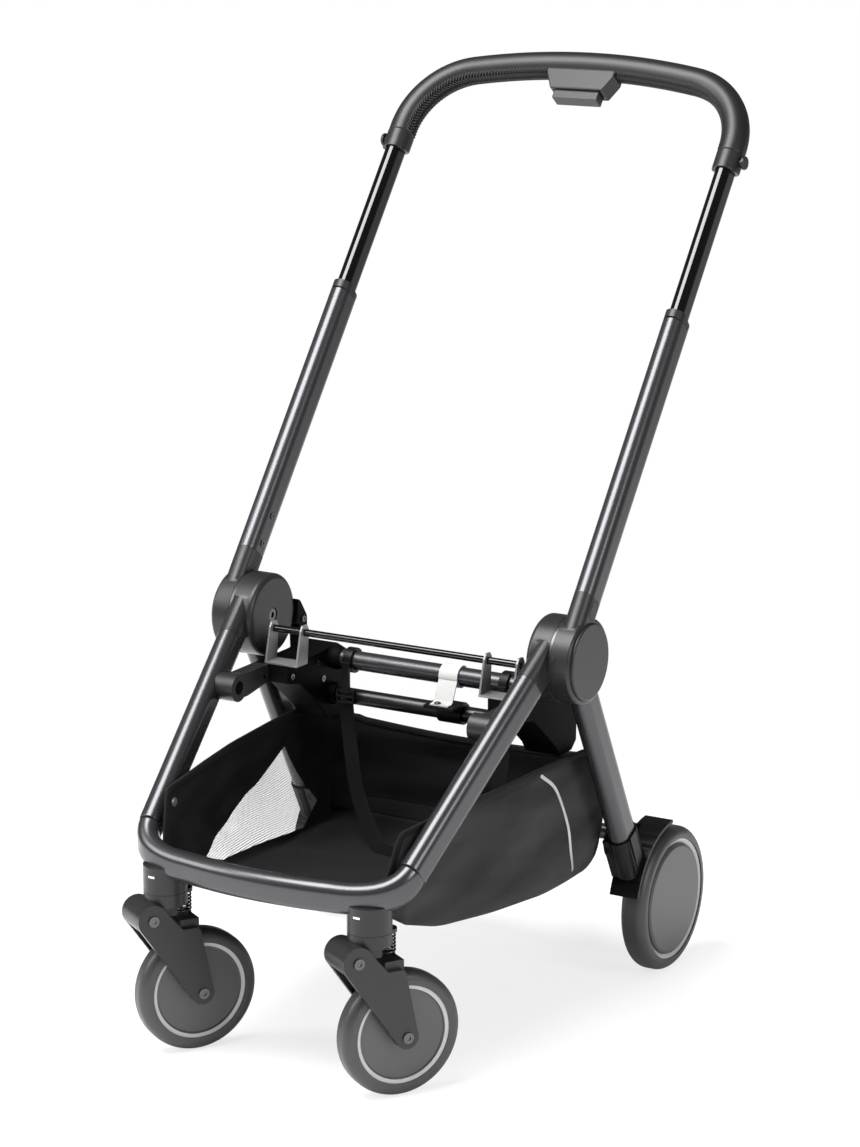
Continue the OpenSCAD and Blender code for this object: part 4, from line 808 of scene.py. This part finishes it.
def slots(name, places, normal, finish, body):
    """Flat round-ended marks on a face: (middle, direction, length, width) each, as one piece."""
    normal = Vector(normal)
    count, above = 16, 0.15 * MM
    verts, faces = [], []
    for middle, direction, length, width in places:
        along = Vector(direction).normalized()
        across = normal.cross(along)
        faces.append(tuple(range(len(verts), len(verts) + count)))
        for k in range(count):
            a = 2 * math.pi * (k + 0.5) / count
            run = math.cos(a) * width / 2 + math.copysign((length - width) / 2, math.cos(a))
            verts.append(Vector(middle) + normal * above + along * run + across * math.sin(a) * width / 2)
    return make_piece(name, verts, faces, finish, body, smooth=False)


def make_hubs():
    """Painted shade of the rib slots in the hubs' necks and of the seam round the panel of each outer neck: flat
    near-black marks, not cut recesses, with the charcoal panel laid over its seam mark.
    """
    lift = Vector((0, -math.sin(FRONT_SLOPE), math.cos(FRONT_SLOPE)))
    for tag, side in SIDES:
        mirror = Vector((side, 1, 1))
        down = (Vector(front_tube_at(1.0) - front_tube_at(0.0)) * mirror).normalized()
        inward = down.cross(lift) * side
        # Painted shade of the rib slots: flat near-black marks lying on the necks' faces
        slot_shade = []
        for k in range(6):
            p = Vector(front_tube_at(0.0445 + 0.0036 * k)) * mirror
            slot_shade.append((p + inward * 0.0130, lift * 0.85 + down * 0.4, 0.0145, 0.0019))
        slots("front_neck_ribs_" + tag, slot_shade, inward, "shadow", "front_frame")
        slot_shade = [(handle_point(side * NECK_INSIDE, NECK_MIDDLE + 0.0046 * (k - 2)), HANDLE_BACK, 0.0145, 0.0024)
                for k in range(5)]
        slots("outer_neck_ribs_" + tag, slot_shade, (-side, 0, 0), "shadow", "handle_base")
        outward = Vector((side, 0, 0))
        panel = handle_point(side * NECK_OUTSIDE, NECK_MIDDLE)
        # Painted shade of the seam: a near-black slot with the charcoal panel laid just above it, so that a thin dark
        # ring shows
        seam = slots("outer_neck_seam_" + tag, [(panel, HANDLE_UP, 0.024, 0.0145)], outward, "shadow", "handle_base")
        inner = [(panel + outward * 0.1 * MM, HANDLE_UP, 0.0216, 0.0121)]
        slots("outer_neck_panel_" + tag, inner, outward, "charcoal", "handle_base")


def floor_material(near, far):
    """White floor: lit and shadowed round the wheels, and seen plain white farther off."""
    mat, tree, out = new_material("white_floor")
    matt = add_node(tree, "ShaderNodeBsdfDiffuse", {"Color": WHITE})
    plain = add_node(tree, "ShaderNodeEmission", {"Color": WHITE, "Strength": 1.0})
    place = add_node(tree, "ShaderNodeTexCoord")
    reach = add_node(tree, "ShaderNodeVectorMath", operation="LENGTH")
    fade = add_node(tree, "ShaderNodeMapRange", {"From Min": near, "From Max": far, "To Min": 0.74, "To Max": 1.0},
                    interpolation_type="SMOOTHSTEP")
    path = add_node(tree, "ShaderNodeLightPath")
    seen = add_node(tree, "ShaderNodeMath", operation="MULTIPLY")
    mix = add_node(tree, "ShaderNodeMixShader")
    join(tree, (place.outputs["Object"], reach.inputs[0]), (reach.outputs["Value"], fade.inputs["Value"]),
         (fade.outputs["Result"], seen.inputs[0]), (path.outputs["Is Camera Ray"], seen.inputs[1]),
         (seen.outputs["Value"], mix.inputs["Fac"]), (matt.outputs["BSDF"], mix.inputs[1]),
         (plain.outputs["Emission"], mix.inputs[2]), (mix.outputs["Shader"], out.inputs["Surface"]))
    return mat


def make_stage():
    """White floor and background, soft studio light and the photo's camera."""
    settings = bpy.context.scene.pushchair_stage
    scene = bpy.context.scene
    scene.view_settings.view_transform = "Standard"
    mesh = bpy.data.meshes.new("floor")
    size = 30.0
    mesh.from_pydata([(-size, -size, 0), (size, -size, 0), (size, size, 0), (-size, size, 0)], [], [(0, 1, 2, 3)])
    mesh.materials.append(floor_material(settings.floor_near, settings.floor_far))
    floor = bpy.data.objects.new("floor", mesh)
    scene.collection.objects.link(floor)
    make_world(scene, settings)
    for name, (place, size) in LIGHTS.items():
        light = bpy.data.lights.new(name, "AREA")
        light.size = size
        light.energy = getattr(settings, name)
        lamp = bpy.data.objects.new(name, light)
        scene.collection.objects.link(lamp)
        lamp.location = place
        lamp.rotation_euler = (LIGHT_TARGET - Vector(place)).to_track_quat("-Z", "Y").to_euler()
    cam = bpy.data.cameras.new("camera")
    cam.sensor_fit = "VERTICAL"
    cam.sensor_height = 36.0
    cam.lens = settings.lens
    eye = bpy.data.objects.new("camera", cam)
    scene.collection.objects.link(eye)
    eye.location = EYE
    eye.rotation_euler = (TARGET - EYE).to_track_quat("-Z", "Y").to_euler()
    scene.camera = eye


def make_world(scene, settings):
    """White to the camera, darker walls in reflections, and a soft light on everything else."""
    world = bpy.data.worlds.new("studio")
    scene.world = world
    world.use_nodes = True
    tree = world.node_tree
    tree.nodes.clear()
    out = add_node(tree, "ShaderNodeOutputWorld")
    seen, lit, mirrored = [add_node(tree, "ShaderNodeBackground", {"Color": WHITE, "Strength": strength})
                           for strength in (1.05, settings.sky, settings.mirrored)]
    shine = add_node(tree, "ShaderNodeMixShader")
    path = add_node(tree, "ShaderNodeLightPath")
    mix = add_node(tree, "ShaderNodeMixShader")
    join(tree, (path.outputs["Is Glossy Ray"], shine.inputs["Fac"]), (lit.outputs["Background"], shine.inputs[1]),
         (mirrored.outputs["Background"], shine.inputs[2]), (path.outputs["Is Camera Ray"], mix.inputs["Fac"]),
         (shine.outputs["Shader"], mix.inputs[1]), (seen.outputs["Background"], mix.inputs[2]),
         (mix.outputs["Shader"], out.inputs["Surface"]))


# Add-on

class PushchairGrip(bpy.types.PropertyGroup):
    """Sizes of the grip's laced seam."""
    seam_half: FloatProperty(
        name="Seam half angle", description="Half the angle that the laced band spans", default=0.62,
        subtype="ANGLE")
    stitch_step: FloatProperty(
        name="Stitch step", description="Distance from stitch to stitch", default=0.0042, unit="LENGTH")
    stitch_length: FloatProperty(
        name="Stitch length", description="Length of one stitch", default=0.0070, unit="LENGTH")
    stitch_slant: FloatProperty(
        name="Stitch slant", description="Angle of a stitch to the seam", default=0.9, subtype="ANGLE")


class PushchairWheels(bpy.types.PropertyGroup):
    """Sizes of the pale rings on the wheels."""
    front_ring_in: FloatProperty(
        name="Front ring inside", description="Inner radius of the front wheel's ring", default=0.0545, unit="LENGTH")
    front_ring_out: FloatProperty(
        name="Front ring outside", description="Outer radius of the front wheel's ring", default=0.0590,
        unit="LENGTH")
    rear_ring_in: FloatProperty(
        name="Rear ring inside", description="Inner radius of the rear wheel's ring", default=0.0712, unit="LENGTH")
    rear_ring_out: FloatProperty(
        name="Rear ring outside", description="Outer radius of the rear wheel's ring", default=0.0768, unit="LENGTH")


class PushchairBasket(bpy.types.PropertyGroup):
    """How the basket's cloth hangs."""
    belly: FloatProperty(
        name="Belly", description="How far the walls belly out", default=0.002, unit="LENGTH")
    wrinkle: FloatProperty(
        name="Wrinkle", description="Depth of the soft folds", default=0.009, unit="LENGTH")
    outer_finish: IntProperty(
        name="Outer finish", description="Place of the outer cloth after the inner one", default=1)
    cut: FloatVectorProperty(
        name="Cut", description="Width and length of the flat cloth", size=2, default=(0.62, 0.72), unit="LENGTH")


class PushchairStage(bpy.types.PropertyGroup):
    """Camera and light of the studio."""
    lens: FloatProperty(name="Lens", description="Focal length in millimetres", default=104.573)
    sky: FloatProperty(name="Sky", description="Strength of the soft light all round", default=0.40)
    mirrored: FloatProperty(
        name="Mirrored sky", description="Strength of the studio's dark walls in reflections", default=0.14)
    top: FloatProperty(name="Top", description="Power of the light overhead", default=200.0, unit="POWER")
    key: FloatProperty(name="Key", description="Power of the light at the left", default=60.0, unit="POWER")
    fill: FloatProperty(
        name="Fill", description="Power of the light at the right", default=45.0, unit="POWER")
    floor_near: FloatProperty(
        name="Lit floor", description="How far round the object the floor is lit", default=0.55, unit="LENGTH")
    floor_far: FloatProperty(
        name="White floor", description="Where the floor is plain white", default=1.05, unit="LENGTH")


class PushchairStep:
    """What the steps share: each one runs its own functions in turn"""
    makers = ()

    def execute(self, context):
        for make in self.makers:
            make()
        return {"FINISHED"}


class OBJECT_OT_pushchair_frame(PushchairStep, bpy.types.Operator):
    """Paint the frame's pieces and round their edges"""
    bl_idname = "object.pushchair_frame"
    bl_label = "Paint the frame"
    makers = (make_materials, paint_frame, make_hubs)


class OBJECT_OT_pushchair_grip(PushchairStep, bpy.types.Operator):
    """Cover the handlebar with its padded grip"""
    bl_idname = "object.pushchair_grip"
    bl_label = "Make the grip"
    makers = (make_grip,)


class OBJECT_OT_pushchair_bar(PushchairStep, bpy.types.Operator):
    """Make the smooth front bar"""
    bl_idname = "object.pushchair_bar"
    bl_label = "Make the front bar"
    makers = (make_front_bar,)


class OBJECT_OT_pushchair_casters(PushchairStep, bpy.types.Operator):
    """Make springs, wheel rings and housing marks"""
    bl_idname = "object.pushchair_casters"
    bl_label = "Dress the wheels"
    makers = (make_casters,)


class OBJECT_OT_pushchair_basket(PushchairStep, bpy.types.Operator):
    """Make the cloth basket and its straps"""
    bl_idname = "object.pushchair_basket"
    bl_label = "Make the basket"
    makers = (make_basket, make_straps, make_loop)


class OBJECT_OT_pushchair_stage(PushchairStep, bpy.types.Operator):
    """Set up floor, light and camera"""
    bl_idname = "object.pushchair_stage"
    bl_label = "Make the stage"
    makers = (make_stage,)


OPERATORS = (OBJECT_OT_pushchair_frame, OBJECT_OT_pushchair_grip, OBJECT_OT_pushchair_bar,
             OBJECT_OT_pushchair_casters, OBJECT_OT_pushchair_basket, OBJECT_OT_pushchair_stage)


class VIEW3D_PT_pushchair(bpy.types.Panel):
    """Sidebar panel with the settings and steps"""
    bl_idname = "VIEW3D_PT_pushchair"
    bl_label = "Pushchair"
    bl_space_type = "VIEW_3D"
    bl_region_type = "UI"
    bl_category = "Pushchair"

    def draw(self, context):
        for key in SETTINGS:
            group = getattr(context.scene, key)
            for name in group.bl_rna.properties.keys():
                if name not in ("rna_type", "name"):
                    self.layout.prop(group, name)
        for operator in OPERATORS:
            self.layout.operator(operator.bl_idname)


SETTINGS = {"pushchair_grip": PushchairGrip, "pushchair_wheels": PushchairWheels,
            "pushchair_basket": PushchairBasket, "pushchair_stage": PushchairStage}


def register():
    for key, group in SETTINGS.items():
        bpy.utils.register_class(group)
        setattr(bpy.types.Scene, key, PointerProperty(type=group))
    for cls in OPERATORS + (VIEW3D_PT_pushchair,):
        bpy.utils.register_class(cls)


def unregister():
    for cls in (VIEW3D_PT_pushchair,) + OPERATORS[::-1]:
        bpy.utils.unregister_class(cls)
    for key, group in SETTINGS.items():
        delattr(bpy.types.Scene, key)
        bpy.utils.unregister_class(group)


def main():
    register()
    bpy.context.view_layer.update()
    for operator in OPERATORS:
        getattr(bpy.ops.object, operator.bl_idname.split(".")[1])()


if __name__ == "__main__":
    main()
